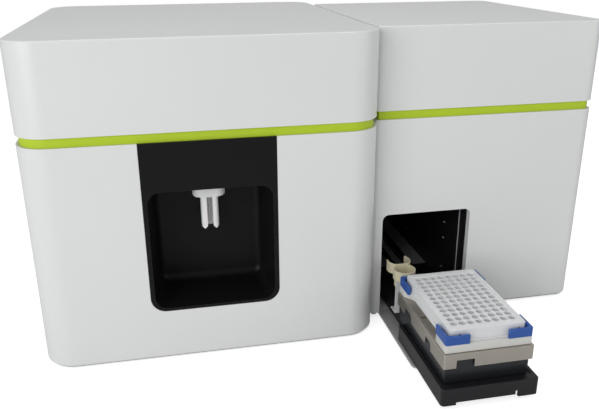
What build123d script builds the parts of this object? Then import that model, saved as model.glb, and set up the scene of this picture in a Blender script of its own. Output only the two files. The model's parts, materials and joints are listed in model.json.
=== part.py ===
from build123d import *
import os
from collections import namedtuple
from math import cos, radians, sin, tan

os.makedirs("parts", exist_ok=True)

# Cases: a main analyser with a narrower plate loader beside it
main_width = 377.0
main_depth = 422.0
loader_width = 271.8
loader_depth = 324.0
loader_set_back = 42.0
module_gap = 4.0
body_height = 349.0
lid_height = 93.0
band_gap = 10.0
ground_gap = 5.0
main_corner = 35.0
loader_outer_corner = 15.0
loader_inner_corner = 4.5
shell_wall = 3.0
lid_roof = 3.0
edge_round = 1.5
foot_round = 1.2
rear_reach = 10.0

# Fits
face_gap = 0.3
slip_gap = 0.4
running_gap = 0.05
sheet = 1.5

# Band between shell and lid
band_wall = 2.5
band_below = 12.0
band_above = 5.0

# Ribs and pads inside the lids
rib_height = 8.0
rib_width = 2.0
pad_size = 14.0

# Base pans and feet
foot_pad = 2.0
pan_flange = 22.0
foot_radius = 12.0
foot_stem = 3.0
foot_head = 4.6
foot_rivet = 1.0
foot_inset = 38.0
loader_foot_inset = 20.0
link_overlap = 30.0
link_setback = 120.0
link_end_gap = 60.0
link_corner = 4.0

# Front fascia and its alcove
fascia_shift = 1.5
fascia_width = 141.5
fascia_sill = 56.0
fascia_head = 52.6
fascia_corner = 16.5
fascia_panel = 3.0
alcove_margin = 5.0
alcove_sill = 3.4
alcove_corner = 13.5
alcove_depth = 56.0
alcove_draft = 7.5
alcove_back_corner = 10.0
alcove_blend = 9.0
alcove_wall = 2.5

# Sample port
port_setback = 41.5
guard_drop = 12.8
guard_flange_width = 35.5
guard_flange_depth = 22.0
guard_flange_height = 7.5
guard_flange_round = 3.0
guard_width = 19.0
guard_corner = 4.0
guard_length = 44.0
guard_slot = 6.4
guard_bore = 4.6
guard_roof = 2.0
guard_tip = 3.0
guard_neck = 8.0
guard_neck_rise = 14.0

# Sample probe and its lift
probe_radius = 1.0
probe_gap = 0.5
probe_tip_rise = 1.5
probe_head = 4.0
probe_head_height = 10.0
lift_width = 44.0
lift_plate = 3.0
lift_reach = 34.0
lift_nose = 13.0
lift_head_gap = 22.6
lift_rod = 3.0
lift_rod_spacing = 28.0
lift_rod_inset = 13.0
lift_head_depth = 8.0
carrier_width = 40.0
carrier_front = 7.0
carrier_start = 12.0
carrier_height = 16.0
carrier_arm_width = 12.0
carrier_arm_height = 6.0
carrier_arm_nose = 7.0

# Loader mouth and door
mouth_offset = 11.75
mouth_width = 111.0
mouth_height = 130.8
mouth_corner = 8.0
mouth_return = 9.0
mouth_wall = 2.5
door_thickness = 2.0
door_axis_depth = 6.0
door_axis_height = 8.2
door_pin = 1.25
door_ear = 2.0
door_boss = 2.8
door_bay_gap = 1.0

# Tunnel behind the mouth
needle_slot_width = 6.0
needle_slot_end = 6.0

# Tray
tray_reach = 150.0
tray_width = 105.0
tray_deck_length = 132.0
tray_bottom = 4.8
tray_top = 24.0
tray_wall = 3.0
tray_corner = 4.0
tray_edge_round = 1.0
tray_travel = 205.0
sled_width = 80.0
sled_tail = 130.0
sled_roof = 4.0
foot_recess = 3.0
foot_recess_left = 16.0
foot_recess_right = 22.0
foot_notch = 3.0
block_width = 92.0
block_length = 132.0
block_front_gap = 13.0
block_pocket = 1.5
block_corner = 2.0
block_chamfer = 1.0

# Steel carriage
carriage_width = 97.0
carriage_length = 138.0
carriage_front_gap = 10.0
carriage_height = 15.8
carriage_top = 56.8
carriage_corner = 2.0
carriage_round = 0.8
notch_height = 9.0
front_notch_left = 13.5
front_notch_right = 33.0
slot_length = 8.0
slot_width = 2.4
slot_spacing = 80.0
slot_setback = 76.0

# Standard 96-well plate and its holder
plate_length = 127.76
plate_width = 85.48
plate_height = 14.35
plate_flange = 2.5
plate_step = 1.6
plate_corner = 3.2
plate_notch = 7.0
plate_recess = 0.8
plate_recess_margin = 4.0
well_pitch = 9.0
well_radius = 3.4
well_depth = 10.7
well_rows = 12
well_columns = 8
holder_rim = 3.9
holder_height = 8.7
holder_seat = 0.8
holder_window_side = 12.0
holder_window_end = 15.0
holder_window_corner = 6.0
waist_depth = 9.0
waist_slope = 14.0
corner_arm_x = 25.5
corner_arm_y = 27.0
corner_height = 10.2
corner_bevel = 1.6
corner_round = 2.0
holder_front_gap = 12.8

# Tube holder behind the plate
ring_side = 36.5
ring_radius = 13.0
ring_wall = 1.8
ring_height = 12.0
ring_floor = 1.5
ring_plate_gap = 0.8
clip_side = 2.0
clip_gap = 6.0
clip_rise = 2.0
clip_wall = 1.6
clip_height = 13.0
clip_mouth_angle = 35.0
horn_reach = 5.0
holder_top = 78.3
holder_post = 6.0
holder_post_length = 34.0
bracket_lap = 12.0
bracket_foot = 13.0

# Rails, screw and motor of the tray
rail_width = 9.0
rail_height = 6.5
rail_groove = 2.0
rail_spacing = 52.0
rail_end_gap = 4.0
runner_width = 20.0
runner_length = 30.0
runner_gap = 4.0
nut_width = 24.0
nut_length = 22.0
screw_radius = 4.0
screw_end = 2.0
screw_end_length = 6.0
support_width = 20.0
support_length = 6.0
motor_size = 20.0
motor_length = 18.0
motor_corner = 2.0

# Needle gantry of the loader
beam_depth = 12.0
beam_height = 16.0
beam_drop = 18.0
beam_setback = 10.0
bridge_sheet = 2.5
bridge_end_gap = 20.0
carriage_block_width = 30.0
carriage_block_front = 7.0
carriage_block_lip = 8.0
needle_radius = 0.8
needle_reach = 60.0
needle_stroke = 74.0
needle_setback = 18.0
needle_park = 185.25
needle_neck = 4.0
needle_knob = 5.0
needle_knob_height = 10.0
wash_radius = 9.0
wash_bore = 4.0
wash_depth = 22.0
wash_rise = 16.0
wash_round = 1.5

# Lid hinges
hinge_radius = 4.0
hinge_pin = 2.0
hinge_pin_end = 0.8
hinge_knuckle = 20.0
hinge_leaf = 1.5
hinge_leaf_height = 24.0
hinge_inset = 75.0

# Optical bench
bench_height = 150.0
bench_sheet = 12.0
bench_corner = 6.0
bench_post = 8.0
bench_post_inset = 14.0
bench_side = 22.0
bench_front_gap = 112.0
bench_back_gap = 36.0
beam_rise = 38.0

# Flow cell and cuvette
cell_shift = 20.0
cell_setback = 90.0
cell_size = 34.0
cell_corner = 3.0
cell_window = 24.0
cell_cap = 18.0
cell_post = 2.5
cell_post_spacing = 26.0
cell_bore = 2.0
cell_bore_floor = 6.0
cuvette_size = 10.0
cuvette_bore = 1.0

# Lasers
laser_inset = 16.0
laser_gap = 13.5
laser_width = 34.0
laser_nose = 8.0
laser_nose_radius = 6.0
second_laser_width = 26.0
second_laser_pitch = 48.0
second_laser_shorter = 22.0
fin_count = 6
fin_margin = 8.0
fin_slot = 5.0

# Collection lens, filters and detectors
lens_radius = 15.0
lens_ring = 11.0
lens_bore = 8.0
lens_setback = 22.0
lens_length = 30.0
lens_ring_length = 4.0
lens_stand_width = 12.0
lens_stand_length = 16.0
detector_setback = 66.0
detector_shift = 2.0
detector_pitch = 34.0
detector_count = 4
detector_width = 26.0
detector_length = 36.0
detector_gap = 26.0
detector_rise = 14.0
snout_radius = 8.0
snout_length = 10.0
filter_width = 26.0
filter_sheet = 5.0
filter_height = 50.0
filter_window = 16.0

# Cover over the optics
cover_height = 118.0
cover_inset = 4.0
cover_corner = 5.0
cover_round = 3.0
cover_sheet = 2.0

# Syringe pump
pump_inset = 58.0
pump_setback = 62.0
pump_width = 56.0
pump_column_front = 14.0
pump_column_back = 44.0
pump_head_width = 36.0
pump_head_height = 20.0
pump_slot_width = 12.0
pump_slot_depth = 6.0
pump_slot_floor = 20.0
syringe_radius = 9.0
syringe_wall = 2.0
syringe_low = 118.0
syringe_high = 196.0
syringe_roof = 4.0
syringe_port = 3.0
syringe_port_depth = 12.0
piston_height = 8.0
piston_start = 8.0
plunger_rod = 3.0
plunger_below = 12.0
plunger_arm_width = 10.0
plunger_arm_height = 8.0
plunger_arm_front = 8.0
plunger_arm_back = 18.0

# Valve block and sheath filter
valve_setback = 60.0
valve_width = 72.0
valve_depth = 24.0
valve_base_height = 36.5
valve_height = 106.5
valve_pitch = 24.0
valve_radius = 8.0
valve_reach = 30.0
valve_low_row = 18.0
valve_row_pitch = 32.0
filter_radius = 20.0
filter_stem = 4.0
filter_stem_low = 3.0
filter_stem_high = 12.0
filter_body = 65.0
filter_round = 6.0

# Power supply
supply_inset = 60.0
supply_back_gap = 34.0
supply_width = 100.0
supply_length = 170.0
supply_height = 48.5
supply_margin = 15.0
supply_slot = 6.0
supply_slot_depth = 1.5
supply_slot_pitch = 20.0
supply_slot_count = 7

# Circuit boards
board_sheet = 1.6
board_standoff = 3.0
board_hole_inset = 10.0
board_hole_rise = 8.0
main_board_gap = 14.0
main_board_front = 130.0
main_board_back = 60.0
main_board_low = 30.0
main_board_headroom = 10.0
loader_board_gap = 9.0
loader_board_front = 120.0
loader_board_back = 34.0
loader_board_low = 40.0
loader_board_headroom = 25.0

# Rear panels and vents
rear_margin = 42.0
rear_sill = 28.0
rear_head = 14.0
rear_corner = 6.0
panel_lap = 6.0
vent_slot = 4.0
fan_slot_pitch = 8.0
fan_slot_margin = 6.0
main_vent_inset = 80.0
main_vent_pitch = 40.0
main_vent_width = 30.0
main_vent_columns = 3
main_vent_rows = 6
vent_row_pitch = 11.0
vent_drop = 32.0
loader_vent_inset = 70.0
loader_vent_width = 50.0
loader_vent_low = 60.0
loader_vent_rows = 5

# Fans
fan_size = 80.0
small_fan_size = 60.0
fan_depth = 20.0
fan_inset = 100.0
small_fan_inset = 80.0
fan_drop = 19.0
small_fan_drop = 14.0
fan_hub = 0.22
fan_rim = 2.0
fan_corner = 5.0
fan_spoke = 4.0
fan_spoke_depth = 2.5
fan_shaft = 2.0
fan_shaft_setback = 5.0
blade_count = 7
blade_sheet = 1.4
blade_pitch = 38.0
blade_gap = 1.5
blade_depth = 12.0

# Mains inlet and rocker switch
service_height = 64.0
inlet_inset = 90.0
inlet_width = 28.0
inlet_height = 20.0
inlet_depth = 24.0
inlet_gap = 0.2
socket_width = 24.0
socket_height = 16.0
socket_depth = 14.0
socket_chamfer = 4.0
prong_width = 2.0
prong_height = 4.0
switch_spacing = 44.0
switch_width = 20.0
switch_height = 28.0
switch_depth = 18.0
switch_bezel = 2.0
bezel_margin = 21.0
bezel_height = 34.0
bezel_corner = 4.0
rocker_tilt = 8.0
rocker_half = 10.0
rocker_width = 15.0
rocker_pin = 1.5
rocker_pin_depth = 4.0
rocker_bay_width = 16.0
rocker_bay_height = 25.0
rocker_bay_depth = 12.0

# Data sockets and hose fittings
data_inset = 70.0
data_width = 36.0
data_height = 16.0
data_depth = 16.0
data_lip = 1.0
data_hole_depth = 12.0
fluid_inset = 180.0
fluid_pitch = 26.0
fluid_count = 3
fluid_hole = 5.2
barb_bore = 1.6
barb_stem = 5.0
barb_stem_length = 12.0
barb_nut = 8.0
barb_nut_height = 4.0
barb_neck = 3.4
barb_root = 4.0
barb_tip = 2.8
barb_length = 4.0

# Places worked out from the sizes above
Case = namedtuple("Case", "left right front back left_corner right_corner")
total_width = main_width + module_gap + loader_width
total_depth = tray_reach + main_depth + rear_reach
main = Case(
    -total_width / 2,
    -total_width / 2 + main_width,
    -total_depth / 2 + tray_reach,
    -total_depth / 2 + tray_reach + main_depth,
    main_corner,
    main_corner,
)
loader = Case(
    main.right + module_gap,
    main.right + module_gap + loader_width,
    main.front + loader_set_back,
    main.front + loader_set_back + loader_depth,
    loader_inner_corner,
    loader_outer_corner,
)
shell_bottom = ground_gap
lid_top = shell_bottom + body_height
lid_bottom = lid_top - lid_height
shell_top = lid_bottom - band_gap
pan_top = foot_pad + sheet
band_foot = shell_top - band_below
rib_bottom = lid_top - lid_roof - rib_height
skin = shell_wall + slip_gap
panel_seat = slip_gap / 2


def box_between(low, high, mode=Mode.ADD):
    """Add a box between two opposite corners."""
    with Locations(tuple((a + b) / 2 for a, b in zip(low, high))):
        Box(*(b - a for a, b in zip(low, high)), mode=mode)


def case_column(case, inset, bottom, top, mode=Mode.ADD):
    """Add an upright column of a module's plan outline, moved in by inset."""
    with BuildSketch(Plane.XY.offset(bottom)) as plan:
        with Locations(((case.left + case.right) / 2, (case.front + case.back) / 2)):
            Rectangle(case.right - case.left - 2 * inset, case.back - case.front - 2 * inset)
        fillet(plan.vertices().group_by(Axis.X)[0], max(case.left_corner - inset, 0.6))
        fillet(plan.vertices().group_by(Axis.X)[-1], max(case.right_corner - inset, 0.6))
    extrude(plan.sketch, amount=top - bottom, mode=mode)


def column(centre, size, corner, bottom, top, mode=Mode.ADD):
    """Add an upright column with a rounded-rectangle plan."""
    with BuildSketch(Plane.XY.offset(bottom)) as plan:
        with Locations(centre):
            RectangleRounded(size[0], size[1], corner)
    extrude(plan.sketch, amount=top - bottom, mode=mode)


def post(centre, radius, bottom, top, mode=Mode.ADD):
    """Add an upright round post."""
    with Locations((centre[0], centre[1], (bottom + top) / 2)):
        Cylinder(radius, top - bottom, mode=mode)


def facing(y):
    """Give the upright plane at depth y, drawn in X and Z, with its normal to the front."""
    return Plane.XZ.offset(-y)


def lying_rod(centre, radius, front, back, mode=Mode.ADD):
    """Add a round rod along Y through centre, an (x, z) pair."""
    with BuildSketch(facing(back)) as round_face:
        with Locations(centre):
            Circle(radius)
    extrude(round_face.sketch, amount=back - front, mode=mode)


def cross_rod(centre, radius, left, right, mode=Mode.ADD):
    """Add a round rod along X through centre, a (y, z) pair."""
    with BuildSketch(Plane.YZ.offset(left)) as round_face:
        with Locations(centre):
            Circle(radius)
    extrude(round_face.sketch, amount=right - left, mode=mode)


def save(piece, name):
    """Label a finished sub-part and write its STEP file."""
    piece.part.label = name
    export_step(piece.part, f"parts/{name}.step")


# Sheet pans under both modules, and the link that bolts them together
def foot_places(case):
    """Give the plan places of a module's four feet."""
    left_inset = loader_foot_inset if case is loader else foot_inset
    return [
        (x, y)
        for x in (case.left + left_inset, case.right - foot_inset)
        for y in (case.front + foot_inset, case.back - foot_inset)
    ]


door_axis = (loader.front + door_axis_depth, door_axis_height)
mouth_left = loader.left + mouth_offset
mouth_right = mouth_left + mouth_width
mouth_centre = (mouth_left + mouth_right) / 2
mouth_top = shell_bottom + mouth_height
door_bay_back = door_axis[0] + door_boss + door_bay_gap
link_low = main.right - link_overlap
link_high = loader.left + link_overlap
link_front = loader.front + link_setback
link_back = loader.back - link_end_gap

with BuildPart() as base_pans:
    for case in (main, loader):
        case_column(case, skin, foot_pad, foot_pad + pan_flange)
        case_column(case, skin + sheet, pan_top, foot_pad + pan_flange, mode=Mode.SUBTRACT)
        for place in foot_places(case):
            post(place, foot_stem + slip_gap / 2, foot_pad, pan_top, mode=Mode.SUBTRACT)
    box_between(
        (mouth_left - mouth_wall - slip_gap, loader.front, foot_pad - 1.0),
        (mouth_right + mouth_wall + slip_gap, door_bay_back, foot_pad + pan_flange + 1.0),
        mode=Mode.SUBTRACT,
    )
save(base_pans, "base_pans")

with BuildPart() as link_plate:
    column(
        ((link_low + link_high) / 2, (link_front + link_back) / 2),
        (link_high - link_low, link_back - link_front),
        link_corner,
        foot_pad - sheet,
        foot_pad,
    )
save(link_plate, "link_plate")

with BuildPart() as rubber_feet:
    for place in foot_places(main) + foot_places(loader):
        upright = Plane(origin=(place[0], place[1], 0), z_dir=(0, -1, 0), x_dir=(1, 0, 0))
        with BuildSketch(upright) as profile:
            with BuildLine():
                Polyline(
                    (0, 0),
                    (foot_radius - 1.0, 0),
                    (foot_radius, foot_pad),
                    (foot_stem, foot_pad),
                    (foot_stem, pan_top),
                    (foot_head, pan_top),
                    (foot_head, pan_top + foot_rivet / 2),
                    (foot_stem, pan_top + foot_rivet),
                    (0, pan_top + foot_rivet),
                    close=True,
                )
            make_face()
        revolve(profile.sketch, axis=Axis((place[0], place[1], 0), (0, 0, 1)))
save(rubber_feet, "rubber_feet")


# Lower shells
def rear_window(case):
    """Cut the window in the back wall of a shell."""
    width = case.right - case.left - 2 * rear_margin
    height = shell_top - shell_bottom - rear_sill - rear_head
    with BuildSketch(facing(case.back + 1.0)) as window:
        with Locations(((case.left + case.right) / 2, shell_bottom + rear_sill + height / 2)):
            RectangleRounded(width, height, rear_corner)
    extrude(window.sketch, amount=shell_wall + 2.0, mode=Mode.SUBTRACT)


fascia_centre = (main.left + main.right) / 2 + fascia_shift


def fascia_outline(grow):
    """Draw the fascia's outline, open to the top edge of the shell, grown by a clearance."""
    left = fascia_centre - fascia_width / 2 - grow
    right = fascia_centre + fascia_width / 2 + grow
    low = shell_bottom + fascia_sill - grow
    with Locations(((left + right) / 2, (low + shell_top) / 2)):
        Rectangle(right - left, shell_top - low)


with BuildPart() as main_shell:
    case_column(main, 0, shell_bottom, shell_top)
    fillet(main_shell.faces().sort_by(Axis.Z)[0].outer_wire().edges(), foot_round)
    case_column(main, shell_wall, shell_bottom, shell_top, mode=Mode.SUBTRACT)
    rear_window(main)
    with BuildSketch(facing(main.front + shell_wall + 1.0)) as cut_out:
        fascia_outline(0)
        fillet(cut_out.vertices().group_by(Axis.Y)[0], fascia_corner)
    extrude(cut_out.sketch, amount=shell_wall + 2.0, mode=Mode.SUBTRACT)
save(main_shell, "main_shell")


def mouth_outline(grow, low):
    """Draw the loader mouth, open at the bottom edge, grown by a wall or a clearance."""
    top = mouth_top + grow
    with Locations((mouth_centre, (low + top) / 2)):
        Rectangle(mouth_width + 2 * grow, top - low)


with BuildPart() as loader_shell:
    case_column(loader, 0, shell_bottom, shell_top)
    fillet(loader_shell.faces().sort_by(Axis.Z)[0].outer_wire().edges(), foot_round)
    case_column(loader, shell_wall, shell_bottom, shell_top, mode=Mode.SUBTRACT)
    rear_window(loader)
    with BuildSketch(facing(loader.front + mouth_return)) as return_wall:
        mouth_outline(mouth_wall, shell_bottom)
        fillet(return_wall.vertices().group_by(Axis.Y)[-1], mouth_corner + mouth_wall)
    extrude(return_wall.sketch, amount=mouth_return - shell_wall / 2)
    with BuildSketch(facing(loader.front + mouth_return + 1.0)) as opening:
        mouth_outline(0, shell_bottom - 1.0)
        fillet(opening.vertices().group_by(Axis.Y)[-1], mouth_corner)
    extrude(opening.sketch, amount=mouth_return + 2.0, mode=Mode.SUBTRACT)
    cross_rod(
        door_axis,
        door_pin + running_gap,
        mouth_left - mouth_wall - 1.0,
        mouth_right + mouth_wall + 1.0,
        mode=Mode.SUBTRACT,
    )
save(loader_shell, "loader_shell")


# Coloured bands in the gaps under the lids
with BuildPart() as lid_bands:
    for case in (main, loader):
        case_column(case, skin, shell_top - band_below, lid_bottom + band_above)
        case_column(
            case, skin + band_wall, shell_top - band_below, lid_bottom + band_above, mode=Mode.SUBTRACT
        )
save(lid_bands, "lid_bands")



# Lids, with ribs under the roof and pads that rest on the band
def make_lid(case, name):
    """Make a module's lid."""
    roof = lid_top - lid_roof
    seat = lid_bottom + band_above + face_gap
    width = case.right - case.left
    depth = case.back - case.front
    middle = ((case.left + case.right) / 2, (case.front + case.back) / 2)
    with BuildPart() as lid:
        case_column(case, 0, lid_bottom, lid_top)
        fillet(lid.faces().sort_by(Axis.Z)[-1].outer_wire().edges(), edge_round)
        case_column(case, shell_wall, lid_bottom, roof, mode=Mode.SUBTRACT)
        for share in (-0.25, 0.25):
            box_between(
                (middle[0] + share * width - rib_width / 2, case.front + shell_wall, roof - rib_height),
                (middle[0] + share * width + rib_width / 2, case.back - shell_wall, roof),
            )
            box_between(
                (case.left + shell_wall, middle[1] + share * depth - rib_width / 2, roof - rib_height),
                (case.right - shell_wall, middle[1] + share * depth + rib_width / 2, roof),
            )
        for x in (case.left + shell_wall, case.right - shell_wall - pad_size):
            for y in (middle[1] - depth / 4, middle[1] + depth / 4):
                box_between((x, y, seat), (x + pad_size, y + rib_width, seat + pad_size))
    save(lid, name)


make_lid(main, "main_lid")
make_lid(loader, "loader_lid")

# Lid hinges: a leaf, middle knuckle and pin on each shell, a leaf and two knuckles on each lid
hinge_height = shell_top + band_gap / 2
knuckle_end = hinge_knuckle / 2


def hinge_places(case):
    """Give the middle of each hinge of a module along X."""
    return (case.left + hinge_inset, case.right - hinge_inset)


def hinge_axis(case):
    """Give a module's hinge axis as a (y, z) pair."""
    return (case.back + hinge_radius, hinge_height)


with BuildPart() as hinge_leaves:
    for case in (main, loader):
        for x in hinge_places(case):
            axis_y, axis_z = hinge_axis(case)
            cross_rod((axis_y, axis_z), hinge_radius, x - hinge_knuckle / 2, x + hinge_knuckle / 2)
            box_between(
                (x - hinge_knuckle / 2, case.back, shell_top - hinge_leaf_height),
                (x + hinge_knuckle / 2, case.back + hinge_leaf, axis_z),
            )
            reach = hinge_knuckle / 2 + face_gap + knuckle_end + hinge_pin_end
            cross_rod((axis_y, axis_z), hinge_pin, x - reach, x + reach)
save(hinge_leaves, "hinge_leaves")


def make_lid_hinges(case, name):
    """Make the two hinge halves that turn with a lid."""
    axis_y, axis_z = hinge_axis(case)
    inner = hinge_knuckle / 2 + face_gap
    outer = inner + knuckle_end
    with BuildPart() as halves:
        for x in hinge_places(case):
            for side in (-1, 1):
                low, high = sorted((x + side * inner, x + side * outer))
                cross_rod((axis_y, axis_z), hinge_radius, low, high)
                box_between((low, case.back, axis_z), (high, case.back + hinge_leaf, lid_bottom + 2.0))
            box_between(
                (x - outer, case.back, lid_bottom + 1.0),
                (x + outer, case.back + hinge_leaf, lid_bottom + hinge_leaf_height),
            )
            cross_rod(
                (axis_y, axis_z),
                hinge_pin + running_gap,
                x - outer - 1.0,
                x + outer + 1.0,
                mode=Mode.SUBTRACT,
            )
    save(halves, name)


make_lid_hinges(main, "main_lid_hinges")
make_lid_hinges(loader, "loader_lid_hinges")

# Front fascia: a black panel with a drafted, blended alcove
alcove_width = fascia_width - 2 * alcove_margin
alcove_low = shell_bottom + fascia_sill + alcove_sill
alcove_high = shell_top - fascia_head
alcove_height = alcove_high - alcove_low
alcove_middle = (alcove_low + alcove_high) / 2


def alcove_loft(grow, depth, mode=Mode.ADD):
    """Loft the alcove from its mouth to its smaller back wall."""
    with BuildSketch(facing(main.front)) as mouth_face:
        with Locations((fascia_centre, alcove_middle)):
            RectangleRounded(alcove_width + 2 * grow, alcove_height + 2 * grow, alcove_corner + grow)
    with BuildSketch(facing(main.front + depth)) as back_face:
        with Locations((fascia_centre, alcove_middle)):
            RectangleRounded(
                alcove_width + 2 * grow - 2 * alcove_draft,
                alcove_height + 2 * grow - 2 * alcove_draft,
                alcove_back_corner + grow,
            )
    loft([mouth_face.sketch.face(), back_face.sketch.face()], mode=mode)


port = (fascia_centre, main.front + port_setback)

with BuildPart() as alcove_cavity:
    alcove_loft(0, alcove_depth)
    fillet(alcove_cavity.faces().sort_by(Axis.Y)[-1].edges(), alcove_blend)

with BuildPart() as front_fascia:
    alcove_loft(alcove_wall, alcove_depth + alcove_wall)
    with BuildSketch(facing(main.front + fascia_panel)) as panel:
        fascia_outline(-slip_gap / 2)
        fillet(panel.vertices().group_by(Axis.Y)[0], fascia_corner - slip_gap / 2)
    extrude(panel.sketch, amount=fascia_panel)
    add(alcove_cavity.part, mode=Mode.SUBTRACT)
    post(port, guard_neck + face_gap, alcove_middle, alcove_high + guard_neck_rise, mode=Mode.SUBTRACT)
save(front_fascia, "front_fascia")

# Tube guard: a flange with a split sleeve that ends in two pointed legs
guard_top = alcove_high - guard_drop
guard_bottom = guard_top - guard_length
guard_neck_top = alcove_high + guard_neck_rise
leg_middle = (guard_width + guard_slot) / 4

with BuildPart() as tube_guard:
    column(
        port,
        (guard_flange_width, guard_flange_depth),
        guard_flange_depth / 2 - 1.0,
        guard_top - guard_flange_height,
        guard_top,
    )
    fillet(tube_guard.faces().sort_by(Axis.Z)[0].edges(), guard_flange_round)
    column(port, (guard_width, guard_width), guard_corner, guard_bottom, guard_top)
    post(port, guard_neck, guard_top, guard_neck_top)
    post(port, guard_bore, guard_bottom - 1.0, guard_top - guard_roof, mode=Mode.SUBTRACT)
    post(port, probe_radius + probe_gap, guard_bottom, guard_neck_top + 1.0, mode=Mode.SUBTRACT)
    box_between(
        (port[0] - guard_slot / 2, port[1] - guard_width, guard_bottom - 1.0),
        (port[0] + guard_slot / 2, port[1], guard_top - guard_flange_height),
        mode=Mode.SUBTRACT,
    )
    with BuildSketch(facing(port[1] + guard_width)) as tip_cut:
        for side in (-1, 1):
            middle = port[0] + side * leg_middle
            half = (guard_width - guard_slot) / 4
            for reach in (-1, 1):
                with BuildLine():
                    Polyline(
                        (middle, guard_bottom - 0.1),
                        (middle + reach * (half + 0.2), guard_bottom - 0.1),
                        (middle + reach * (half + 0.2), guard_bottom + guard_tip),
                        close=True,
                    )
                make_face()
    extrude(tip_cut.sketch, amount=2 * guard_width, mode=Mode.SUBTRACT)
save(tube_guard, "tube_guard")

# Sample probe on its lift
lift_back = port[1] + lift_reach
lift_low = guard_neck_top
lift_high = rib_bottom - lift_head_gap
lift_left = port[0] - lift_width / 2
lift_right = port[0] + lift_width / 2
lift_rod_y = lift_back - lift_rod_inset
hub_low = lift_low + carrier_start
hub_high = hub_low + carrier_height
arm_top = hub_low + carrier_arm_height

with BuildPart() as probe_lift:
    box_between((lift_left, lift_back - lift_plate, lift_low), (lift_right, lift_back, lift_high))
    box_between((lift_left, port[1] - lift_nose, lift_low), (lift_right, lift_back, lift_low + lift_plate))
    box_between(
        (lift_left, lift_rod_y - lift_head_depth, lift_high - lift_plate), (lift_right, lift_back, lift_high)
    )
    post(port, probe_radius + probe_gap, lift_low - 1.0, lift_low + lift_plate + 1.0, mode=Mode.SUBTRACT)
    for side in (-1, 1):
        post(
            (port[0] + side * lift_rod_spacing / 2, lift_rod_y),
            lift_rod,
            lift_low + lift_plate,
            lift_high - lift_plate,
        )
save(probe_lift, "probe_lift")

with BuildPart() as probe_carrier:
    box_between(
        (port[0] - carrier_width / 2, lift_rod_y - carrier_front, hub_low),
        (port[0] + carrier_width / 2, lift_back - lift_plate - 1.0, hub_high),
    )
    box_between(
        (port[0] - carrier_arm_width / 2, port[1] - carrier_arm_nose, hub_low),
        (port[0] + carrier_arm_width / 2, lift_rod_y, arm_top),
    )
    for side in (-1, 1):
        post(
            (port[0] + side * lift_rod_spacing / 2, lift_rod_y),
            lift_rod + running_gap,
            hub_low - 1.0,
            hub_high + 1.0,
            mode=Mode.SUBTRACT,
        )
    post(port, probe_radius + face_gap, hub_low - 1.0, arm_top + 1.0, mode=Mode.SUBTRACT)
save(probe_carrier, "probe_carrier")

with BuildPart() as sample_probe:
    post(port, probe_radius, guard_bottom + probe_tip_rise, arm_top)
    post(port, probe_head, arm_top, arm_top + probe_head_height)
save(sample_probe, "sample_probe")

# Door of the loader mouth, lying open under the tray on two riveted ears with stub pins
door_left = mouth_left + face_gap
door_right = mouth_right - face_gap
door_low = door_axis_height - door_axis_depth
door_top = door_low + door_thickness
door_tip = door_axis[0] - (mouth_top - face_gap - door_axis_height)
door_heel = door_axis[0] + door_boss

with BuildPart() as tray_door:
    with BuildSketch(Plane.XY.offset(door_low)) as leaf:
        with Locations(((door_left + door_right) / 2, (door_tip + door_heel) / 2)):
            Rectangle(door_right - door_left, door_heel - door_tip)
        fillet(leaf.vertices().group_by(Axis.Y)[0], mouth_corner - face_gap)
    extrude(leaf.sketch, amount=door_thickness)
save(tray_door, "tray_door")

with BuildPart() as door_ears:
    for left in (door_left, door_right - door_ear):
        cross_rod(door_axis, door_boss, left, left + door_ear)
        box_between(
            (left, door_axis[0] - door_boss, door_top),
            (left + door_ear, door_axis[0] + door_boss, door_axis_height),
        )
    cross_rod(door_axis, door_pin, mouth_left - mouth_wall + face_gap, door_left + door_ear)
    cross_rod(door_axis, door_pin, door_right - door_ear, mouth_right + mouth_wall - face_gap)
save(door_ears, "door_ears")

# Black tunnel behind the mouth
liner_front = loader.front + mouth_return + face_gap
liner_back = loader.back - shell_wall - panel_seat - sheet - face_gap
needle_line = loader.front + needle_setback
first_column = mouth_centre - (well_columns - 1) / 2 * well_pitch

with BuildPart() as loader_liner:
    box_between(
        (mouth_left - sheet, liner_front, pan_top), (mouth_right + sheet, liner_back, mouth_top + sheet)
    )
    box_between(
        (mouth_left, liner_front - 1.0, pan_top - 1.0), (mouth_right, liner_back - sheet, mouth_top),
        mode=Mode.SUBTRACT,
    )
    box_between(
        (first_column - needle_slot_end, needle_line - needle_slot_width / 2, mouth_top - 1.0),
        (
            2 * mouth_centre - first_column + needle_slot_end,
            needle_line + needle_slot_width / 2,
            mouth_top + sheet + 1.0,
        ),
        mode=Mode.SUBTRACT,
    )
save(loader_liner, "loader_liner")

# Tray: a wide deck in front and a narrower sled behind, both hollow underneath
tray_front = main.front - tray_reach
deck_back = tray_front + tray_deck_length
sled_back = main.front + sled_tail
tray_left = mouth_centre - tray_width / 2
tray_right = mouth_centre + tray_width / 2
roof_low = tray_top - tray_wall
sled_roof_low = tray_top - sled_roof
block_front = tray_front + block_front_gap

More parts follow.
